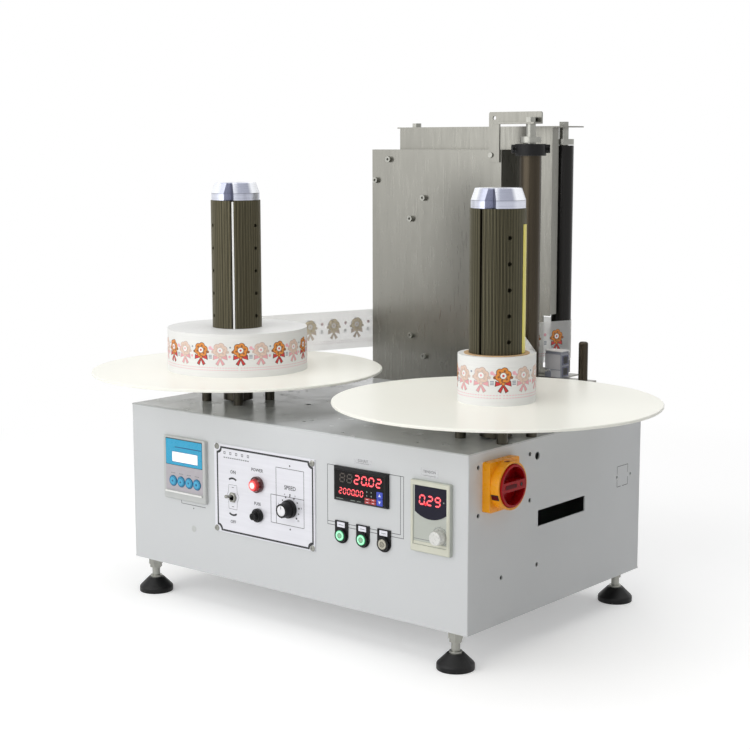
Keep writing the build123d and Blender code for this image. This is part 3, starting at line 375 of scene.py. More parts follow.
left_paper = paper_roll("left_roll_paper", LEFT_X, PAPER)
right_paper = paper_roll("right_roll_paper", RIGHT_X, PAPER, 1300.0)
left_cap = turned_cap("left_cap_turned_painted_sheen", "left_expander", LEFT_X, 0.6)
right_cap = turned_cap("right_cap_turned_painted_sheen", "right_expander", RIGHT_X, 1.9)
GREEN = ((0.0, srgb(136, 158, 136)), (1.0, srgb(30, 120, 78)), (0.40, srgb(108, 150, 118)),
         (0.50, srgb(60, 150, 104)), (0.60, srgb(176, 252, 204)), (0.84, srgb(150, 246, 190)),
         (0.93, srgb(40, 150, 96)))
GREY = ((0.0, srgb(150, 146, 132)), (1.0, srgb(84, 82, 74)), (0.42, srgb(128, 124, 112)),
        (0.52, srgb(96, 94, 84)), (0.60, srgb(184, 180, 164)), (0.84, srgb(168, 164, 150)),
        (0.93, srgb(90, 88, 80)))
BUTTON_LOOKS = (("start", GREEN, 0.35, 0.0), ("run", GREEN, 0.35, 0.0), ("stop", GREY, 0.0, 0.6))
button_mats = [target(name + "_button_rings", x, BUTTON_Z, 7.6, stops, emit=emit, rough=0.26, metal=metal)
               for x, (name, stops, emit, metal) in zip(BUTTON_X, BUTTON_LOOKS)]

for mat, names in (
        (paint, "cabinet_front_panel"),
        (paint_side, "cabinet_left_panel cabinet_right_panel cabinet_back_panel cabinet_bottom_plate"),
        (shaded_top_paint, "cabinet_top_plate"), (cream, "left_platter right_platter"),
        (left_flutes, "left_segment_1 left_segment_2 left_segment_3"),
        (right_flutes, "right_segment_1 right_segment_2 right_segment_3"),
        (blackened, "left_spindle right_spindle platter_supports"),
        (left_cap, "left_expander"), (right_cap, "right_expander"),
        (left_paper, "left_label_roll"), (right_paper, "right_label_roll"),
        (card, "right_roll_core"), (film, "label_web"),
        (stainless, "stand_front_cover stand_rear_plate top_bracket sensor_bracket"),
        (zinc, "machine_screws foot_stems roller_shafts toggle_body toggle_lever"),
        (motor_paint, "spindle_bearings gearmotors power_supply"), (board_green, "motor_drive_board"),
        (rubber, "foot_pads"), (bronze, "front_roller guide_pin"), (clamp, "edge_guide_ring"),
        (black_alu, "rear_roller_left rear_roller_right"), (sensor_case, "label_sensor"),
        (plastic_grey, "length_controller_case"), (tension_body, "tension_case"), (key_blue, "lcd_keys"),
        (plate_alu, "control_plate"), (lamp_red, "pilot_lamp"), (knob_satin, "tension_knob"),
        (plastic_black, "counter_case fuse_holder speed_knob mains_inlet button_bodies"),
        (glass, "display_windows"), (isolator_yellow, "isolator_base"), (isolator_red, "isolator_handle"),
        *zip(button_mats, ("start_button", "run_button", "stop_button"))):
    dress(mat, *names.split())

# ---- mesh helpers
# Shapes are drawn in (u, v, h) millimetres: u to the right, v up, h out of the surface, and a
# place function sets them on the machine.
def on_front(y):
    return lambda p: P(p.x, y - p.z, p.y)


def on_side(x):
    return lambda p: P(x + p.z, p.x, p.y)


def on_top(z):
    return lambda p: P(p.x, p.y, z + p.z)


def on_roll(cx, cy, r, deg):
    def place(p):
        a = math.radians(deg) + p.x / r
        return P(cx + (r + p.z) * math.cos(a), cy + (r + p.z) * math.sin(a), p.y)
    return place


def circle(x, z, r, n=28):
    return [(x + r * math.cos(math.tau * k / n), z + r * math.sin(math.tau * k / n)) for k in range(n)]


def box2(x0, x1, z0, z1, r=0.0):
    if not r:
        return [(x0, z0), (x1, z0), (x1, z1), (x0, z1)]
    pts = []
    for cx, cz, a0 in ((x1 - r, z0 + r, -90), (x1 - r, z1 - r, 0), (x0 + r, z1 - r, 90),
                       (x0 + r, z0 + r, 180)):
        for k in range(5):
            a = math.radians(a0 + 22.5 * k)
            pts.append((cx + r * math.cos(a), cz + r * math.sin(a)))
    return pts


def stroke(x0, z0, x1, z1, w):
    dx, dz = x1 - x0, z1 - z0
    size = math.hypot(dx, dz)
    ax, az = -dz / size * w / 2, dx / size * w / 2
    return [(x0 - ax, z0 - az), (x1 - ax, z1 - az), (x1 + ax, z1 + az), (x0 + ax, z0 + az)]


def arc_band(x, z, r0, r1, a0, a1, n=24):
    outer = [(x + r1 * math.cos(math.radians(a)), z + r1 * math.sin(math.radians(a)))
             for a in (a0 + (a1 - a0) * k / n for k in range(n + 1))]
    inner = [(x + r0 * math.cos(math.radians(a)), z + r0 * math.sin(math.radians(a)))
             for a in (a1 - (a1 - a0) * k / n for k in range(n + 1))]
    return outer + inner


def prism(loops, low, high, cut=0.0, bevel=0.0):
    """Flat shape with its holes, given a thickness; cut slices it so that it can follow a curve."""
    bm = bmesh.new()
    flat = [Vector((u, v, low)) for loop in loops for u, v in loop]
    verts = [bm.verts.new(p) for p in flat]
    for tri in tessellate_polygon([[Vector((u, v, 0)) for u, v in loop] for loop in loops]):
        bm.faces.new([verts[i] for i in tri])
    if cut:
        u0 = min(p.x for p in flat)
        u1 = max(p.x for p in flat)
        for k in range(math.floor(u0 / cut) + 1, math.ceil(u1 / cut)):
            geom = bm.verts[:] + bm.edges[:] + bm.faces[:]
            bmesh.ops.bisect_plane(bm, geom=geom, dist=1e-5, plane_co=(k * cut, 0, 0), plane_no=(1, 0, 0))
    else:
        bmesh.ops.dissolve_limit(bm, angle_limit=0.001, verts=bm.verts[:], edges=bm.edges[:])
    got = bmesh.ops.extrude_face_region(bm, geom=bm.faces[:])["geom"]
    top = [g for g in got if isinstance(g, bmesh.types.BMVert)]
    for v in top:
        v.co.z = high
    bmesh.ops.recalc_face_normals(bm, faces=bm.faces[:])
    if bevel:
        rim = [e for e in bm.edges if all(v.co.z == high for v in e.verts) and len(e.link_faces) == 2
               and e.calc_face_angle(0) > 0.5]
        bmesh.ops.bevel(bm, geom=rim, offset=bevel, segments=2, affect="EDGES", clamp_overlap=True)
    return bm


def lathe(profile, x=0.0, z=0.0, n=40):
    """Turned shape from (radius, height) points; ends at radius 0 are closed."""
    bm = bmesh.new()
    rings = []
    for r, h in profile:
        if r < 1e-6:
            rings.append([bm.verts.new((x, z, h))])
        else:
            rings.append([bm.verts.new((u, v, h)) for u, v in circle(x, z, r, n)])
    for a, b in zip(rings, rings[1:]):
        for k in range(n):
            j = (k + 1) % n
            quad = [a[k % len(a)], a[j % len(a)], b[j % len(b)], b[k % len(b)]]
            bm.faces.new(list(dict.fromkeys(quad)))
    bmesh.ops.recalc_face_normals(bm, faces=bm.faces[:])
    return bm


def words(text, size, x, z, low=0.02, high=0.06, bold=0.0):
    curve = bpy.data.curves.new("words", "FONT")
    curve.body = text
    curve.size = size
    curve.offset = bold
    curve.extrude = (high - low) / 2
    curve.align_x = "CENTER"
    curve.align_y = "CENTER"
    curve.resolution_u = 2
    holder = bpy.data.objects.new("words", curve)
    link(holder)
    graph = bpy.context.evaluated_depsgraph_get()
    mesh = bpy.data.meshes.new_from_object(holder.evaluated_get(graph))
    bm = bmesh.new()
    bm.from_mesh(mesh)
    bmesh.ops.translate(bm, verts=bm.verts[:], vec=(x, z, (high + low) / 2))
    bpy.data.objects.remove(holder)
    bpy.data.meshes.remove(mesh)
    return bm


class Piece:
    """One Blender piece gathered from shapes, with a material for each kind of shape."""

    def __init__(self, name, body, slot, *mats):
        self.name, self.body, self.slot, self.mats = name, body, slot, mats
        self.verts, self.faces, self.kinds = [], [], []

    def put(self, bm, place, kind=0):
        base = len(self.verts)
        bm.verts.ensure_lookup_table()
        for k, v in enumerate(bm.verts):
            v.index = k
            self.verts.append(place(v.co))
        for f in bm.faces:
            self.faces.append([base + v.index for v in f.verts])
            self.kinds.append(kind)
        bm.free()

    def flat(self, loops, place, kind=0, low=0.0, high=0.05, **how):
        """A prism, put in place."""
        self.put(prism(loops, low, high, **how), place, kind)

    def ruled(self, lines, width, place, kind=0, high=0.05):
        """Straight lines, each given by its two ends."""
        for line in lines:
            self.flat([stroke(*line, width)], place, kind, high=high)

    def done(self):
        mesh = bpy.data.meshes.new(self.name)
        mesh.from_pydata(self.verts, [], self.faces)
        mesh.polygons.foreach_set("material_index", self.kinds)
        for m in self.mats:
            mesh.materials.append(m)
        for poly in mesh.polygons:
            poly.use_smooth = True
        mesh.update()
        mesh.set_sharp_from_angle(angle=math.radians(35))
        obj = bpy.data.objects.new(self.name, mesh)
        link(obj)
        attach(obj, self.body)


SEGMENTS = {"0": "abcdef", "2": "abged", "8": "abcdefg", "9": "abcdfg"}


def digit(char, x, z, w, h, t):
    """Outlines of a leaning seven-bar numeral whose lower left corner is (x, z)."""
    slant = 0.1
    bars = {"a": (0, 1, 1, 1), "b": (1, 0.5, 1, 1), "c": (1, 0, 1, 0.5), "d": (0, 0, 1, 0),
            "e": (0, 0, 0, 0.5), "f": (0, 0.5, 0, 1), "g": (0, 0.5, 1, 0.5)}
    shapes = []
    for bar in SEGMENTS[char]:
        u0, v0, u1, v1 = bars[bar]
        p = Vector((t / 2 + u0 * (w - t), t / 2 + v0 * (h - t)))
        q = Vector((t / 2 + u1 * (w - t), t / 2 + v1 * (h - t)))
        d = (q - p).normalized()
        n = Vector((-d.y, d.x)) * t / 2
        p, q = p + d * t * 0.28, q - d * t * 0.28
        ends = [p, p + d * t / 2 - n, q - d * t / 2 - n, q, q - d * t / 2 + n, p + d * t / 2 + n]
        shapes.append([(x + e.x + slant * e.y, z + e.y) for e in ends])
    return shapes


def numerals(piece, text, x, z, pitch, w, h, t, place, kinds):
    """Row of lit numerals: a red outer bar and a paler core."""
    for char in text:
        if char == ".":
            piece.flat([circle(x - (pitch - w) * 0.5, z + t * 0.6, t * 0.75, 14)], place, kinds[0],
                       low=0.02)
            continue
        for outline in digit(char, x, z, w, h, t):
            piece.flat([outline], place, kinds[0], low=0.02, high=0.06)
        if len(kinds) > 1:
            for outline in digit(char, x + t * 0.22, z + t * 0.22, w - t * 0.44, h - t * 0.44, t * 0.55):
                piece.flat([outline], place, kinds[1], low=0.06, high=0.09)
        x += pitch


# ---- inks and lit colours
def ink(name, color, rough=0.5, emit=0.0, metal=0.0, vary=0.04):
    return surface(name, color, rough, metal=metal, vary=vary, vary_scale=160, emit=emit, rough_vary=0.05)


ink_black = ink("ink_black", srgb(28, 28, 32), 0.4)
ink_grey = ink("ink_grey", srgb(112, 114, 116), 0.5)
ink_scribe = ink("ink_scribe", srgb(70, 72, 74), 0.5)
lcd_blue = ink("lcd_face_blue", srgb(44, 164, 205), 0.3)
lcd_dark = ink("lcd_print_blue", srgb(18, 78, 128), 0.4)
lcd_white = ink("lcd_screen_lit", (0.93, 0.95, 0.97, 1), 0.2, emit=0.25, vary=0.01)
key_rim = ink("key_rim_blue", srgb(30, 104, 156), 0.4)
grey_film = ink("controller_grey_film", srgb(180, 175, 180), 0.45, vary=0.03)
led_red = ink("led_bar_red", srgb(205, 8, 26), 0.4, emit=0.75)
led_core = ink("led_bar_core", srgb(255, 104, 112), 0.4, emit=0.8)
led_dim = ink("led_bar_dim", srgb(70, 62, 55), 0.4)
led_dot = ink("led_dot", srgb(150, 160, 150), 0.3)
key_red = ink("membrane_red", srgb(176, 58, 58), 0.4)
key_dark_blue = ink("membrane_blue", srgb(58, 76, 190), 0.4)
legend_white = ink("legend_white", srgb(232, 232, 240), 0.35)
sticker = ink("sticker_grey", srgb(204, 205, 207), 0.3, metal=0.2)
knob_white = surface("knob_disc", srgb(235, 235, 238), 0.2, vary=0.05, vary_scale=200, coat=0.6)
tape_white = surface("white_strip", (0.88, 0.88, 0.86, 1), 0.4, vary=0.05, vary_scale=60,
                     stretch=(2, 2, 0.4))
tape_yellow = surface("yellow_strip", srgb(238, 224, 92), 0.35, vary=0.06, vary_scale=60,
                      stretch=(2, 2, 0.4))
navy = surface("sensor_navy", srgb(46, 52, 92), 0.25, vary=0.12, vary_scale=80, coat=0.4)
sensor_grey = surface("sensor_face", srgb(196, 196, 198), 0.4, vary=0.05, vary_scale=90, grain=0.2)
slide_red = surface("isolator_slide", srgb(92, 8, 14), 0.35, spec=0.1, vary=0.15, vary_scale=120, grain=0.2)
hole_black = surface("shadow_gap", srgb(14, 14, 15), 0.6, vary=0.2, vary_scale=90)

# ---- length controller face
lcd = Piece("length_controller_face", "machine", "keys_blue", lcd_blue, lcd_dark, lcd_white, grey_film,
            ink_grey)
on_case = on_front(-6.0)
lcd.flat([box2(81.2, 158.8, 159.7, 198.8, 1.2)], on_case, high=0.25, bevel=0.08)
lcd.flat([box2(94.6, 150.4, 164.2, 180.4, 0.8)], on_case, 1, low=0.25, high=0.4, bevel=0.05)
lcd.flat([box2(95.2, 149.8, 164.8, 179.8, 0.6)], on_case, 2, low=0.4, high=0.5, bevel=0.04)
lcd.flat([box2(101.0, 157.6, 186.6, 188.0, 0.5)], on_case, 1, low=0.25, high=0.3)
keys_xz = [(x, 134.8) for x in (96.3, 113.5, 130.6, 147.6)]
holes = [circle(x, z, 8.0, 36) for x, z in keys_xz]
lcd.flat([box2(80.6, 159.8, 120.2, 158.9, 1.0)] + holes, on_case, 3, high=0.15)
for x, z in keys_xz:
    lcd.flat([circle(x, z, 8.5, 36), circle(x, z, 7.85, 36)], on_case, 1, low=0.15, high=0.35)
    for k in range(3):
        lcd.flat([box2(x - 4.4 + 3.2 * k, x - 2.2 + 3.2 * k, 146.4, 147.4)], on_case, 4, low=0.15,
                 high=0.19)
lcd.flat([box2(81.5, 158.5, 199.6, 200.4, 0.3)], on_case, 4, high=0.1)
lcd.done()

pad = Piece("controller_key_faces", "keypad", "keys_blue", key_rim, lcd_dark)
on_keys = on_front(-8.0)
for k, (x, z) in enumerate(keys_xz):
    pad.flat([circle(x, z, 6.6, 36), circle(x, z, 5.7, 36)], on_keys, high=0.12)
    marks = [[(-2, 0), (1.4, 1.9), (1.4, -1.9)], [(-1.9, -1.4), (1.9, -1.4), (0, 2)],
             [(-1.9, 1.4), (0, -2), (1.9, 1.4)], [(-1.6, -1.6), (1.6, -1.6), (1.6, 1.6), (-1.6, 1.6)]]
    pad.flat([[(x + du, z + dv) for du, dv in marks[k]]], on_keys, 1, high=0.1)
pad.done()

ledge = Piece("controller_ledge", "machine", "plastic_grey", plastic_white, plastic_grey)
ledge.flat([box2(80.6, 159.4, 116.9, 119.6, 0.6)], on_front(-8.0), high=0.5, bevel=0.2)
ledge.done()

# ---- print on the control plate
plate = Piece("control_plate_print", "machine", "plastic_black", ink_black, ink_grey)
on_plate = on_front(-2.0)
X0, X1, Z0, Z1, NOTCH, LINE = 186.2, 377.6, 72.2, 199.4, 8.0, 2.7


def notched(x0, x1, z0, z1, n):
    """Frame line whose corners bend inward round the screws."""
    pts = []
    for cx, cz, a0, a1 in ((x1, z0, 180, 90), (x1, z1, 270, 180), (x0, z1, 360, 270), (x0, z0, 90, 0)):
        for k in range(7):
            a = math.radians(a0 + (a1 - a0) * k / 6)
            pts.append((cx + n * math.cos(a), cz + n * math.sin(a)))
    return pts


plate.flat([notched(X0, X1, Z0, Z1, NOTCH), notched(X0 + LINE, X1 - LINE, Z0 + LINE, Z1 - LINE, NOTCH)],
           on_plate, high=0.06)
for k in range(5):
    x = 200.6 + 12 * k
    plate.flat([box2(x, x + 4, 188.4, 192.6), box2(x + 1, x + 3, 189.4, 191.6)], on_plate, 1)
for k in range(12):
    plate.flat([box2(200.6 + 4.4 * k, 203.6 + 4.4 * k, 182.8, 184.4)], on_plate, 1)
for text, size, x, z, bold in (("SPEED", 8.4, 333.0, 155.0, 0.12), ("FUSE", 6.4, 268.6, 123.0, 0.1),
                               ("POWER", 6.8, 268.6, 172.6, 0.1), ("ON", 7.2, 219.6, 163.2, 0.12),
                               ("OFF", 6.4, 218.8, 88.6, 0.1)):
    plate.put(words(text, size, x, z, bold=bold), on_plate)
plate.flat([arc_band(218.6, 142.0, 10.6, 13.4, 52, 128)], on_plate)
plate.flat([arc_band(218.6, 110.8, 10.6, 13.4, 232, 308)], on_plate)
shape = [(210.6, 144.0), (226.9, 144.0), (227.6, 133.5), (231.2, 126.6), (227.6, 119.0), (226.9, 107.8),
         (210.4, 107.8), (209.6, 119.0), (206.2, 126.0), (209.6, 133.5)]
plate.ruled([(*a, *b) for a, b in zip(shape, shape[1:] + shape[:1])], 0.55, on_plate, 1)
plate.ruled([(216.8, z, 220.6, z) for z in (140.6, 111.6)], 0.9, on_plate)
plate.ruled(((306.0, 100.6, 306.0, 182.6), (359.6, 100.6, 359.6, 182.6), (306.0, 182.6, 359.6, 182.6),
             (295.5, 100.6, 295.5, 141.8), (359.6, 100.6, 359.6, 141.8), (295.5, 141.8, 359.6, 141.8),
             (295.5, 100.6, 359.6, 100.6)), 0.75, on_plate)
for x, z in ((332.8, 187.4), (332.8, 95.2), (332.8, 145.7)):
    plate.flat([circle(x, z, 1.3, 18)], on_plate)
for k in range(11):
    a = math.radians(225 - 27 * k)
    cx, cz = SPEED[0] + 17.6 * math.cos(a), SPEED[1] + 17.6 * math.sin(a)
    plate.flat([circle(cx, cz, 1.15 if k % 2 else 1.5, 16)], on_plate)
for k in range(0, 11, 2):
    a = math.radians(225 - 27 * k)
    plate.put(words(str(k), 4.0, SPEED[0] + 22.4 * math.cos(a), SPEED[1] + 22.0 * math.sin(a)), on_plate)
plate.done()

knob = Piece("speed_knob_disc", "speed_knob_body", "plastic_white", knob_white, plastic_black, ink_black)
on_knob = on_front(-20.5)
knob.put(lathe([(0.0, 0.5), (6.0, 0.5), (7.3, 0.25), (7.6, 0.0)], *SPEED), on_knob)
knob.put(lathe([(7.6, 0.0), (8.0, 0.55), (9.2, 0.55), (9.9, 0.0)], *SPEED), on_knob, 1)
knob.flat([stroke(SPEED[0], 128.0, SPEED[0], 132.4, 0.9)], on_knob, 2, low=0.4, high=0.56)
knob.flat([stroke(SPEED[0], 136.9, SPEED[0], 138.6, 0.9)], on_knob, low=-14.6, high=-14.2)
knob.done()

toggle_tip = Piece("toggle_collar", "machine", "steel_zinc", zinc)
toggle_tip.put(lathe([(4.4, 1.6), (5.6, 1.6), (6.4, 1.1), (6.4, 0.0)], *TOGGLE), on_front(-3.5))
toggle_tip.done()

# ---- counter
count = Piece("counter_display", "machine", "window_dark", led_red, led_core, led_dim, led_dot, key_red,
              key_dark_blue, legend_white)
on_count = on_front(-5.7)
numerals(count, "88", 428.9, 179.0, 12.9, 10.0, 13.2, 1.9, on_count, (2,))
numerals(count, "20", 454.7, 179.0, 12.9, 10.6, 13.8, 2.7, on_count, (0, 1))
numerals(count, ".02", 480.5, 179.0, 12.9, 10.6, 13.8, 2.7, on_count, (0, 1))
numerals(count, "2000.00", 427.7, 162.4, 7.55, 6.3, 9.4, 1.7, on_count, (0, 1))
for x, z in ((478.5, 171.4), (486.4, 171.4), (486.4, 166.0), (478.5, 166.0)):
    count.flat([circle(x, z, 0.9, 14)], on_count, 3, low=0.02, high=0.08)
on_bezel = on_front(-6.0)
for x0 in (475.0, 485.2):
    for z0 in (155.2, 159.4):
        count.flat([box2(x0, x0 + 9.4, z0, z0 + 3.6, 0.6)], on_bezel, 4, low=-0.3, high=0.2, bevel=0.08)
        count.flat([box2(x0 + 2.6, x0 + 6.6, z0 + 1.4, z0 + 2.1)], on_bezel, 6, low=0.2, high=0.25)
for z0, tip in ((165.0, 1), (155.2, -1)):
    count.flat([box2(496.0, 506.6, z0, z0 + 9.2, 0.8)], on_bezel, 5, low=-0.3, high=0.25, bevel=0.1)
    zc = z0 + 4.6
    foot = zc - 1.8 * tip
    count.flat([[(499.0, foot), (503.4, foot), (501.2, zc + 2.1 * tip)][::tip]], on_bezel, 6, low=0.25,
               high=0.3)
for x0, x1 in ((424.0, 436.0), (449.5, 458.0), (461.0, 468.0)):
    count.flat([box2(x0, x1, 155.6, 156.3)], on_bezel, 3)
count.done()

# ---- push buttons
legend = Piece("button_legends", "machine", "plastic_white", legend_white, ink_grey)
for x in BUTTON_X:
    legend.flat([box2(x - 7.2, x + 6.6, 113.7, 121.0, 0.8)], on_front(-2.0), high=0.35, bevel=0.12)
    legend.flat([box2(x - 4.5, x + 4.0, 116.8, 117.5)], on_front(-2.0), 1, low=0.35, high=0.4)
legend.done()

# ---- tension unit
tens = Piece("tension_display", "machine", "window_dark", led_red, led_core, led_dot, ink_grey)
on_tens = on_front(-6.5)
numerals(tens, "0", 568.2, 167.7, 12.9, 10.8, 14.6, 2.9, on_tens, (0, 1))
numerals(tens, ".29", 581.1, 167.7, 12.9, 10.8, 14.6, 2.9, on_tens, (0, 1))
tens.flat([circle(610.2, 175.4, 1.0, 16)], on_tens, 2, low=0.02, high=0.12)
tens.done()
dial = Piece("tension_dial", "machine", "plastic_cream", ink_grey, plastic_cream)
on_dial = on_front(-5.5)
dial.flat([arc_band(*TENSION, 12.3, 12.8, -50, 230, 48)], on_dial, high=0.08)
for k in range(9):
    a = math.radians(-50 + 35 * k)
    ends = [TENSION[0] + 12.8 * math.cos(a), TENSION[1] + 12.8 * math.sin(a),
            TENSION[0] + 14.2 * math.cos(a), TENSION[1] + 14.2 * math.sin(a)]
    dial.ruled([ends], 0.5, on_dial, high=0.08)
dial.flat([box2(559.6, 614.4, 114.2, 118.0, 0.5)], on_dial, 1, high=0.8, bevel=0.25)
dial.flat([box2(560.0, 592.0, 120.6, 121.3)], on_dial, high=0.08)
dial.done()

# ---- lines and stickers on the panels
scribe = Piece("front_scribed_lines", "machine", "cabinet_paint", ink_scribe, plastic_grey)
on_panel = on_front(0.0)
scribe.ruled(((402.5, 199.6, 417.4, 199.6), (513.6, 199.6, 538.0, 199.6), (538.0, 199.8, 538.0, 114.6),
              (402.5, 114.6, 538.0, 114.6), (402.5, 199.8, 402.5, 114.6), (532.6, 199.6, 532.6, 119.3),
              (402.5, 119.3, 532.6, 119.3), (107.0, 105.9, 107.0, 100.4), (107.0, 100.4, 158.8, 100.4)),
             0.8, on_panel, high=0.06)
scribe.flat([circle(133.1, 95.6, 1.1, 16)], on_panel, high=0.08)
scribe.put(lathe([(0.0, 0.9), (3.2, 0.8), (4.4, 0.4), (5.0, 0.0)], 132.8, 64.2), on_panel, 1)
scribe.done()
tags = Piece("front_tags", "machine", "plate_aluminium", sticker, ink_grey, ink_black)
for x0, x1, z0, z1, text in ((450.9, 483.2, 206.4, 214.6, "COUNT"),
                             (566.2, 597.0, 204.9, 216.2, "TENSION")):
    tags.flat([box2(x0, x1, z0, z1, 0.8)], on_panel, high=0.3, bevel=0.1)
    tags.put(words(text, 5.0, (x0 + x1) / 2, z0 + (z1 - z0) * 0.62, 0.3, 0.34), on_panel, 2)
    tags.flat([box2(x0 + 5, x1 - 5, z0 + 1.6, z0 + 2.1)], on_panel, 1, low=0.3, high=0.33)
tags.done()
marks = Piece("side_scribed_mark", "machine", "cabinet_paint_side", ink_scribe)
marks.ruled(((370.6, 167.3, 400.6, 167.3), (400.6, 167.3, 400.6, 155.0), (400.6, 148.0, 400.6, 136.8),
             (385.0, 136.8, 400.6, 136.8), (370.6, 136.8, 381.0, 136.8), (370.6, 167.3, 370.6, 156.0),
             (370.6, 147.5, 370.6, 136.8)), 0.8, on_side(645.0), high=0.06)
marks.done()

# ---- isolator
iso = Piece("isolator_details", "machine", "isolator_yellow", slide_red, hole_black, isolator_yellow)


def on_ring(p):
    """u along the switch's axis, v round it (mm, 0 facing forward, down is negative), h outward."""
    a, r = p.y / ISOLATOR_R, ISOLATOR_R + p.z
    return P(ISOLATOR_FACE + p.x, ISOLATOR_Y - r * math.cos(a), ISOLATOR_Z + r * math.sin(a))


iso.flat([box2(0.4, 12.0, -16.4, -8.2, 0.5)], on_ring, 1, high=0.35, cut=1.5)
iso.flat([box2(1.6, 10.8, -15.0, -9.6, 0.4)], on_ring, low=0.35, high=0.5, cut=1.5)
iso.flat([[(3.0, 45.0), (9.5, 45.0), (9.5, 50.0), (6.0, 50.0)]], on_ring, high=0.3, bevel=0.1)
for y in (37.0, 91.0):
    for z in (168.0, 222.0):
        iso.put(lathe([(0.0, 0.5), (2.2, 0.5), (2.6, 0.0)], y, z, 20), on_side(ISOLATOR_FACE), 2)
iso.done()
grip = Piece("isolator_grip_details", "isolator", "isolator_red", hole_black, slide_red, knob_white)
on_grip = on_side(672.5)
grip.put(lathe([(0.0, 0.05), (2.1, 0.05), (2.2, 0.35), (2.9, 0.35), (3.1, 0.0)], 80.5, ISOLATOR_Z, 24),
         on_grip, 1)
grip.flat([circle(80.5, ISOLATOR_Z, 2.0, 20)], on_grip, low=0.05, high=0.1)
grip.flat([box2(44.0, 70.0, 192.4, 197.6, 2.2)], on_grip, 1, high=0.5, bevel=0.25)
grip.done()

# ---- mandrel strips
strip = Piece("left_mandrel_strip", "left_grip_1", "plastic_white", tape_white)
strip.flat([box2(-0.4, 2.4, 359.2, 552.5, 0.4)], on_roll(LEFT_X, AXIS_Y, MANDREL_R, -54.0), low=0.05,
           high=0.3, cut=0.7)
strip.done()
tape = Piece("right_mandrel_tape", "right_grip_1", "plastic_white", tape_yellow)
tape.flat([box2(0.0, 14.2, 360.6, 533.0, 0.6)], on_roll(RIGHT_X, AXIS_Y, MANDREL_R, 7.0), high=0.25,
          cut=0.7)
tape.done()

# ---- nuts on the foot stems
nuts = Piece("foot_nuts", "machine", "steel_zinc", zinc)
for fx, fy in FEET:
    for low, high, r, sides in ((-1.4, 0.0, 10.6, 36), (-8.6, -1.5, 10.0, 6), (-15.6, -10.2, 9.4, 6)):
        nuts.flat([circle(fx, fy, r, sides), circle(fx, fy, 6.05, 24)], on_top(0.0), low=low, high=high,
                  bevel=0.4)
nuts.done()

# ---- label sensor
eye = Piece("sensor_details", "machine", "sensor_case", sensor_grey, navy, hole_black, plastic_white)
on_eye_front, on_eye_side = on_front(455.0), on_side(490.0)
for place, kind, x0, x1, z0, z1 in ((on_eye_front, 0, 460.6, 488.4, 288.0, 311.4),
                                    (on_eye_front, 0, 471.5, 488.4, 275.6, 286.6),
                                    (on_eye_side, 1, 457.5, 475.6, 277.0, 292.4),
                                    (on_eye_side, 1, 457.5, 475.6, 294.8, 310.2)):
    eye.flat([box2(x0, x1, z0, z1, 0.8)], place, kind, high=0.4, bevel=0.15)
for z0 in (279.0, 296.8):
    eye.flat([box2(460.5, 472.6, z0, z0 + 11.4, 0.6)], on_eye_side, 2, low=0.4, high=0.5)
eye.flat([box2(458.6, 490.6, 454.8, 478.4, 1.5)], on_top(316.0), 3, high=1.4, bevel=0.4)
eye.done()

# ---- print on the label stock
PINK, SLATE = 10, 11                               # places of these two inks in a print's list


def print_inks(prefix, colors):
    """Inks for a motif's outline, petals, eye, ribbon and details."""
    parts = ("outline", "orange", "white", "red", "brown")
    return [ink(prefix + part, srgb(*c), 0.45) for part, c in zip(parts, colors)]


strong = print_inks("print_", ((84, 52, 34), (226, 142, 58), (244, 242, 238), (206, 52, 54), (150, 92, 50)))
faint = print_inks("print_pale_", ((196, 174, 170), (228, 202, 186), (243, 241, 239), (232, 168, 174),
                                   (212, 190, 178)))
ghost = print_inks("print_ghost_", ((216, 208, 196), (226, 214, 188), (228, 226, 222), (224, 208, 196),
                                    (216, 206, 188)))
print_pink = ink("print_pink", srgb(236, 176, 188), 0.45)
print_slate = ink("print_slate", srgb(150, 156, 168), 0.45)


def petals(ring, r):
    """Six round petals about the flower's middle."""
    turns = (math.tau * k / 6 + 0.26 for k in range(6))
    return [circle(ring * math.cos(a), 6 + ring * math.sin(a), r, 16) for a in turns]


def motif(piece, place, u, kinds, cut=2.0, thick=0.05):
    """Flower rosette over a ribbon bow: a plain ornament, about 34 mm high."""
    def shape(loop, level, kind):
        moved = [(u + a, LABEL_MID + b) for a, b in loop]
        low = THIN + thick * level
        piece.flat([moved], place, kinds[kind], low=low, high=low + thick, cut=cut)
    for tail in (-1, 1):
        shape([(0, -4), (7.6 * tail, -14.6), (3.0 * tail, -17.4), (-1.2 * tail, -6.5)][::tail], 0, 0)
        shape([(0.2 * tail, -5.4), (6.4 * tail, -14.4), (3.4 * tail, -16.0), (-0.2 * tail, -7.0)][::tail],
              1, 3)
        shape([(0, -5), (10.6 * tail, -0.6), (11.4 * tail, -8.6)][::tail], 0, 0)
        shape([(1.2 * tail, -5), (9.6 * tail, -1.9), (10.2 * tail, -7.6)][::tail], 1, 3)
        shape([(a * tail + 11.5 * tail, b + 3.5) for a, b in circle(0, 0, 2.2, 14)][::tail], 0, 4)
    for level, kind, ring, r in ((0, 0, 6.4, 5.3), (1, 1, 6.4, 4.5), (2, 4, 6.6, 1.5)):
        for loop in petals(ring, r):
            shape(loop, level, kind)
    for z, r, sides, level, kind in ((6, 4.9, 24, 2, 0), (6, 4.2, 24, 3, 2), (6, 1.6, 16, 4, 3),
                                     (-4.8, 2.6, 16, 2, 0), (-4.8, 1.9, 16, 3, 1)):
        shape(circle(0, z, r, sides), level, kind)


def trim(piece, place, u, u1, v, cut=2.0):
    """Row of short dashes."""
    while u < u1:
        piece.flat([box2(u, u + 2.4, v, v + 0.9)], place, PINK, low=THIN, high=0.04, cut=cut)
        u += 4.2


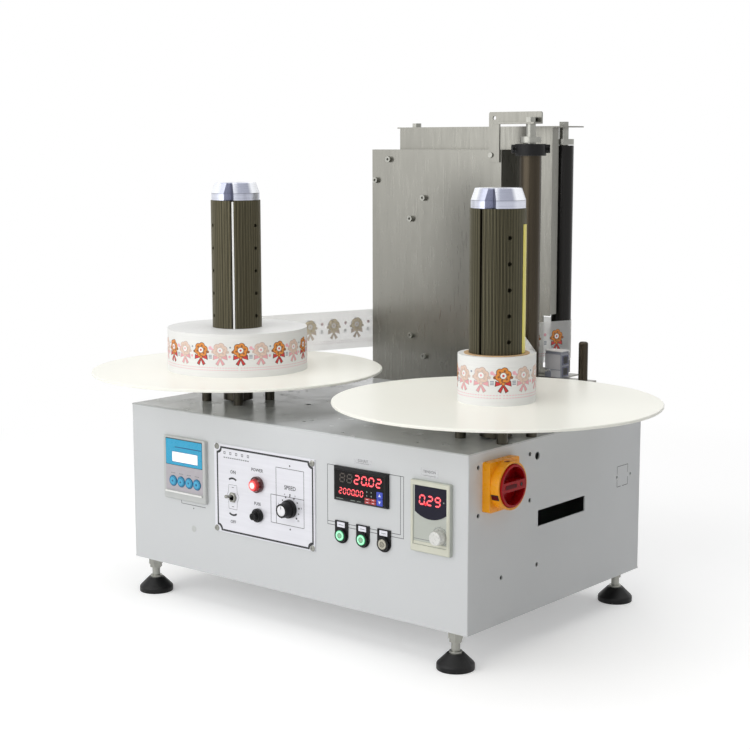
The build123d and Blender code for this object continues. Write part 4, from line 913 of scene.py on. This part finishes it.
def small_marks(piece, place, spots, u, bars, high, cut=0.0):
    """Dots beside a motif, given by (u, height over the middle, radius, sides, ink), and a stack of bars."""
    for at, up, r, sides, kind in spots:
        piece.flat([circle(at, LABEL_MID + up, r, sides)], place, kind, low=THIN, high=high, cut=cut)
    for i in range(3 if bars else 0):
        v = LABEL_MID - 6.4 + 2.1 * i
        piece.flat([box2(u - bars, u + bars, v, v + 1.3)], place, SLATE, low=THIN, high=high, cut=cut)


for side, body, x, r, count, first_deg in (("left", "left_turntable", LEFT_X, 108.0, 22, -43.0),
                                           ("right", "right_turntable", RIGHT_X, 53.0, 11, -45.0)):
    roll = Piece(side + "_roll_print", body, "label_paper", *strong, *faint, print_pink, print_slate)
    around_roll = on_roll(x, AXIS_Y, r, first_deg)
    length = math.tau * r
    pitch = length / count
    for k in range(count):
        loud = k % 2 == 0 if side == "left" else k in (0, 3, 6, 8)
        motif(roll, around_roll, k * pitch, range(0, 5) if loud else range(5, 10))
        mid = (k + 0.5) * pitch
        if k % 2 == 0:
            spots = ((mid, 9.5, 2.6, 16, PINK), (mid + 3.4, 7.4, 1.7, 14, PINK))
        else:
            spots = ((mid - 1.0, -3.5, 2.0, 16, PINK), (mid, 10.5, 1.4, 14, SLATE))
        small_marks(roll, around_roll, spots, mid, 0.0 if k % 2 else 2.6, 0.06, cut=2.0)
    for v in STRIPE_Z:
        trim(roll, around_roll, 0.0, length - 3.0, v)
    roll.done()

# The strip's middle line, from the left roll round the three rollers to the right roll.
# Each bend is its axis's x and y, its radius, and -1 or 1 for the side of the strip it is on.
WEB_BENDS = [(LEFT_X, AXIS_Y, 108.5, -1), (150.5, 520.0, 16.5, -1), (446.0, 520.0, 16.5, -1),
             (448.0, 424.0, 17.5, 1), (RIGHT_X, AXIS_Y, 53.5, -1)]
WEB_HALF, LABEL_PITCH = 0.2, 45.0                  # half the strip's thickness; label to label


def web_runs():
    """Straight runs of the strip as (start, heading, length), in millimetres."""
    runs = []
    for a, b in zip(WEB_BENDS, WEB_BENDS[1:]):
        dx, dy = b[0] - a[0], b[1] - a[1]
        heading = math.atan2(dy, dx) - math.asin((b[3] * b[2] - a[3] * a[2]) / math.hypot(dx, dy))
        n = (-math.sin(heading), math.cos(heading))
        p = (a[0] - a[3] * a[2] * n[0], a[1] - a[3] * a[2] * n[1])
        q = (b[0] - b[3] * b[2] * n[0], b[1] - b[3] * b[2] * n[1])
        runs.append((p, heading, math.dist(p, q)))
    return runs


def on_web(run, face):
    """Place on a straight run; face +1 is the printed side, on the left of its travel."""
    (x, y), heading, size = run
    c, s = math.cos(heading), math.sin(heading)
    def place(p):
        along = size - p.x if face > 0 else p.x
        out = face * (WEB_HALF + p.z)
        return P(x + c * along - s * out, y + s * along + c * out, p.y)
    return place


band = Piece("web_print", "machine", "label_paper", *strong, *faint, print_pink, print_slate)
shadow = Piece("web_ghost_print", "machine", "label_paper", *ghost)
for run, u in zip(web_runs(), (20.0, 22.0, 24.0, 22.0)):
    size = run[2]
    printed, backing = on_web(run, 1), on_web(run, -1)
    while u < size - 16:
        motif(band, printed, u, range(0, 5), cut=0.0, thick=0.03)
        if u + 46 < size:
            small_marks(band, printed, ((u + 22, 9.5, 2.6, 16, PINK),), u + 22.5, 2.5, 0.05)
        motif(shadow, backing, size - u, range(0, 5), cut=0.0, thick=0.02)
        u += LABEL_PITCH
    for v in STRIPE_Z:
        trim(band, printed, 4.0, size - 8.0, v, cut=0.0)
band.done()
shadow.done()


# ---- camera, light, floor
# The camera as fitted to the photograph.
YAW, PITCH, ROLL = (math.radians(a) for a in (39.688, 8.447, -0.0809))
CAMERA_AT, LENS, SENSOR = (1.45596, -1.811825, 0.6926036), 74.8686, 36
ahead = Vector((-math.sin(YAW) * math.cos(PITCH), math.cos(YAW) * math.cos(PITCH), -math.sin(PITCH)))
level_right = Vector((math.cos(YAW), math.sin(YAW), 0))
level_up = level_right.cross(ahead)
right = level_right * math.cos(ROLL) + level_up * math.sin(ROLL)
up = level_up * math.cos(ROLL) - level_right * math.sin(ROLL)
cam_data = bpy.data.cameras.new("camera")
cam_data.lens = LENS
cam_data.sensor_width = SENSOR
cam = bpy.data.objects.new("camera", cam_data)
turn = Matrix((right, up, -ahead)).transposed().to_4x4()
cam.matrix_world = Matrix.Translation(CAMERA_AT) @ turn
link(cam)
bpy.context.scene.camera = cam


def lamp(name, place, target, wide, tall, power):
    data = bpy.data.lights.new(name, "AREA")
    data.shape = "RECTANGLE"
    data.size = wide
    data.size_y = tall
    data.energy = power
    obj = bpy.data.objects.new(name, data)
    look = (Vector(target) - Vector(place)).to_track_quat("-Z", "Y")
    obj.matrix_world = Matrix.Translation(place) @ look.to_matrix().to_4x4()
    link(obj)


lamp("front_softbox", (-0.7, -3.2, 1.5), (0, 0, 0.35), 4.6, 2.8, 72)
lamp("top_softbox", (0.0, 0.0, 3.2), (0, 0, 0.3), 4.6, 4.2, 78)

WHITE = (1, 1, 1, 1)


def seen_rays(tree):
    """1 for rays that show the surroundings (camera, glossy, transmission), 0 for those that light."""
    path = add(tree, "LightPath")
    seen = math_node(tree, "MAXIMUM", path.outputs["Is Camera Ray"], path.outputs["Is Glossy Ray"])
    return math_node(tree, "MAXIMUM", seen, path.outputs["Is Transmission Ray"])


world = bpy.data.worlds.new("studio")
world.use_nodes = True
bpy.context.scene.world = world
wt = world.node_tree
wt.nodes.clear()
soft = add(wt, "Background", {"Color": WHITE, "Strength": 0.28})
white = add(wt, "Background", {"Color": WHITE, "Strength": 1.0})
blend = add(wt, "MixShader", {0: seen_rays(wt), 1: soft.outputs[0], 2: white.outputs[0]})
world_out = wt.nodes.new("ShaderNodeOutputWorld")
wt.links.new(blend.outputs[0], world_out.inputs[0])

floor_mat = bpy.data.materials.new("pale_floor")
floor_mat.use_nodes = True
ft = floor_mat.node_tree
ft.nodes.clear()
lit = seen_rays(ft)
dull = add(ft, "BsdfDiffuse", {"Color": (0.86, 0.86, 0.86, 1)})
glow = add(ft, "Emission", {"Color": WHITE, "Strength": math_node(ft, "MULTIPLY", lit, 0.32)})
both = add(ft, "AddShader", {0: dull.outputs[0], 1: glow.outputs[0]})
far_out = add(ft, "VectorMath", {0: ft.nodes.new("ShaderNodeTexCoord").outputs["Object"]},
              operation="LENGTH")
away = spread(ft, far_out.outputs["Value"], 0.0, 1.0, 0.75, 1.7)     # fades to plain white, in metres
plain = add(ft, "Emission", {"Color": WHITE, "Strength": 1.0})
ground = add(ft, "MixShader",
             {0: math_node(ft, "MULTIPLY", lit, away), 1: both.outputs[0], 2: plain.outputs[0]})
floor_out = ft.nodes.new("ShaderNodeOutputMaterial")
ft.links.new(ground.outputs[0], floor_out.inputs[0])
bm = bmesh.new()
bmesh.ops.create_grid(bm, x_segments=8, y_segments=8, size=12)
floor_mesh = bpy.data.meshes.new("floor")
bm.to_mesh(floor_mesh)
bm.free()
floor = bpy.data.objects.new("floor", floor_mesh)
floor_mesh.materials.append(floor_mat)
link(floor)

bpy.context.scene.view_settings.view_transform = "Standard"
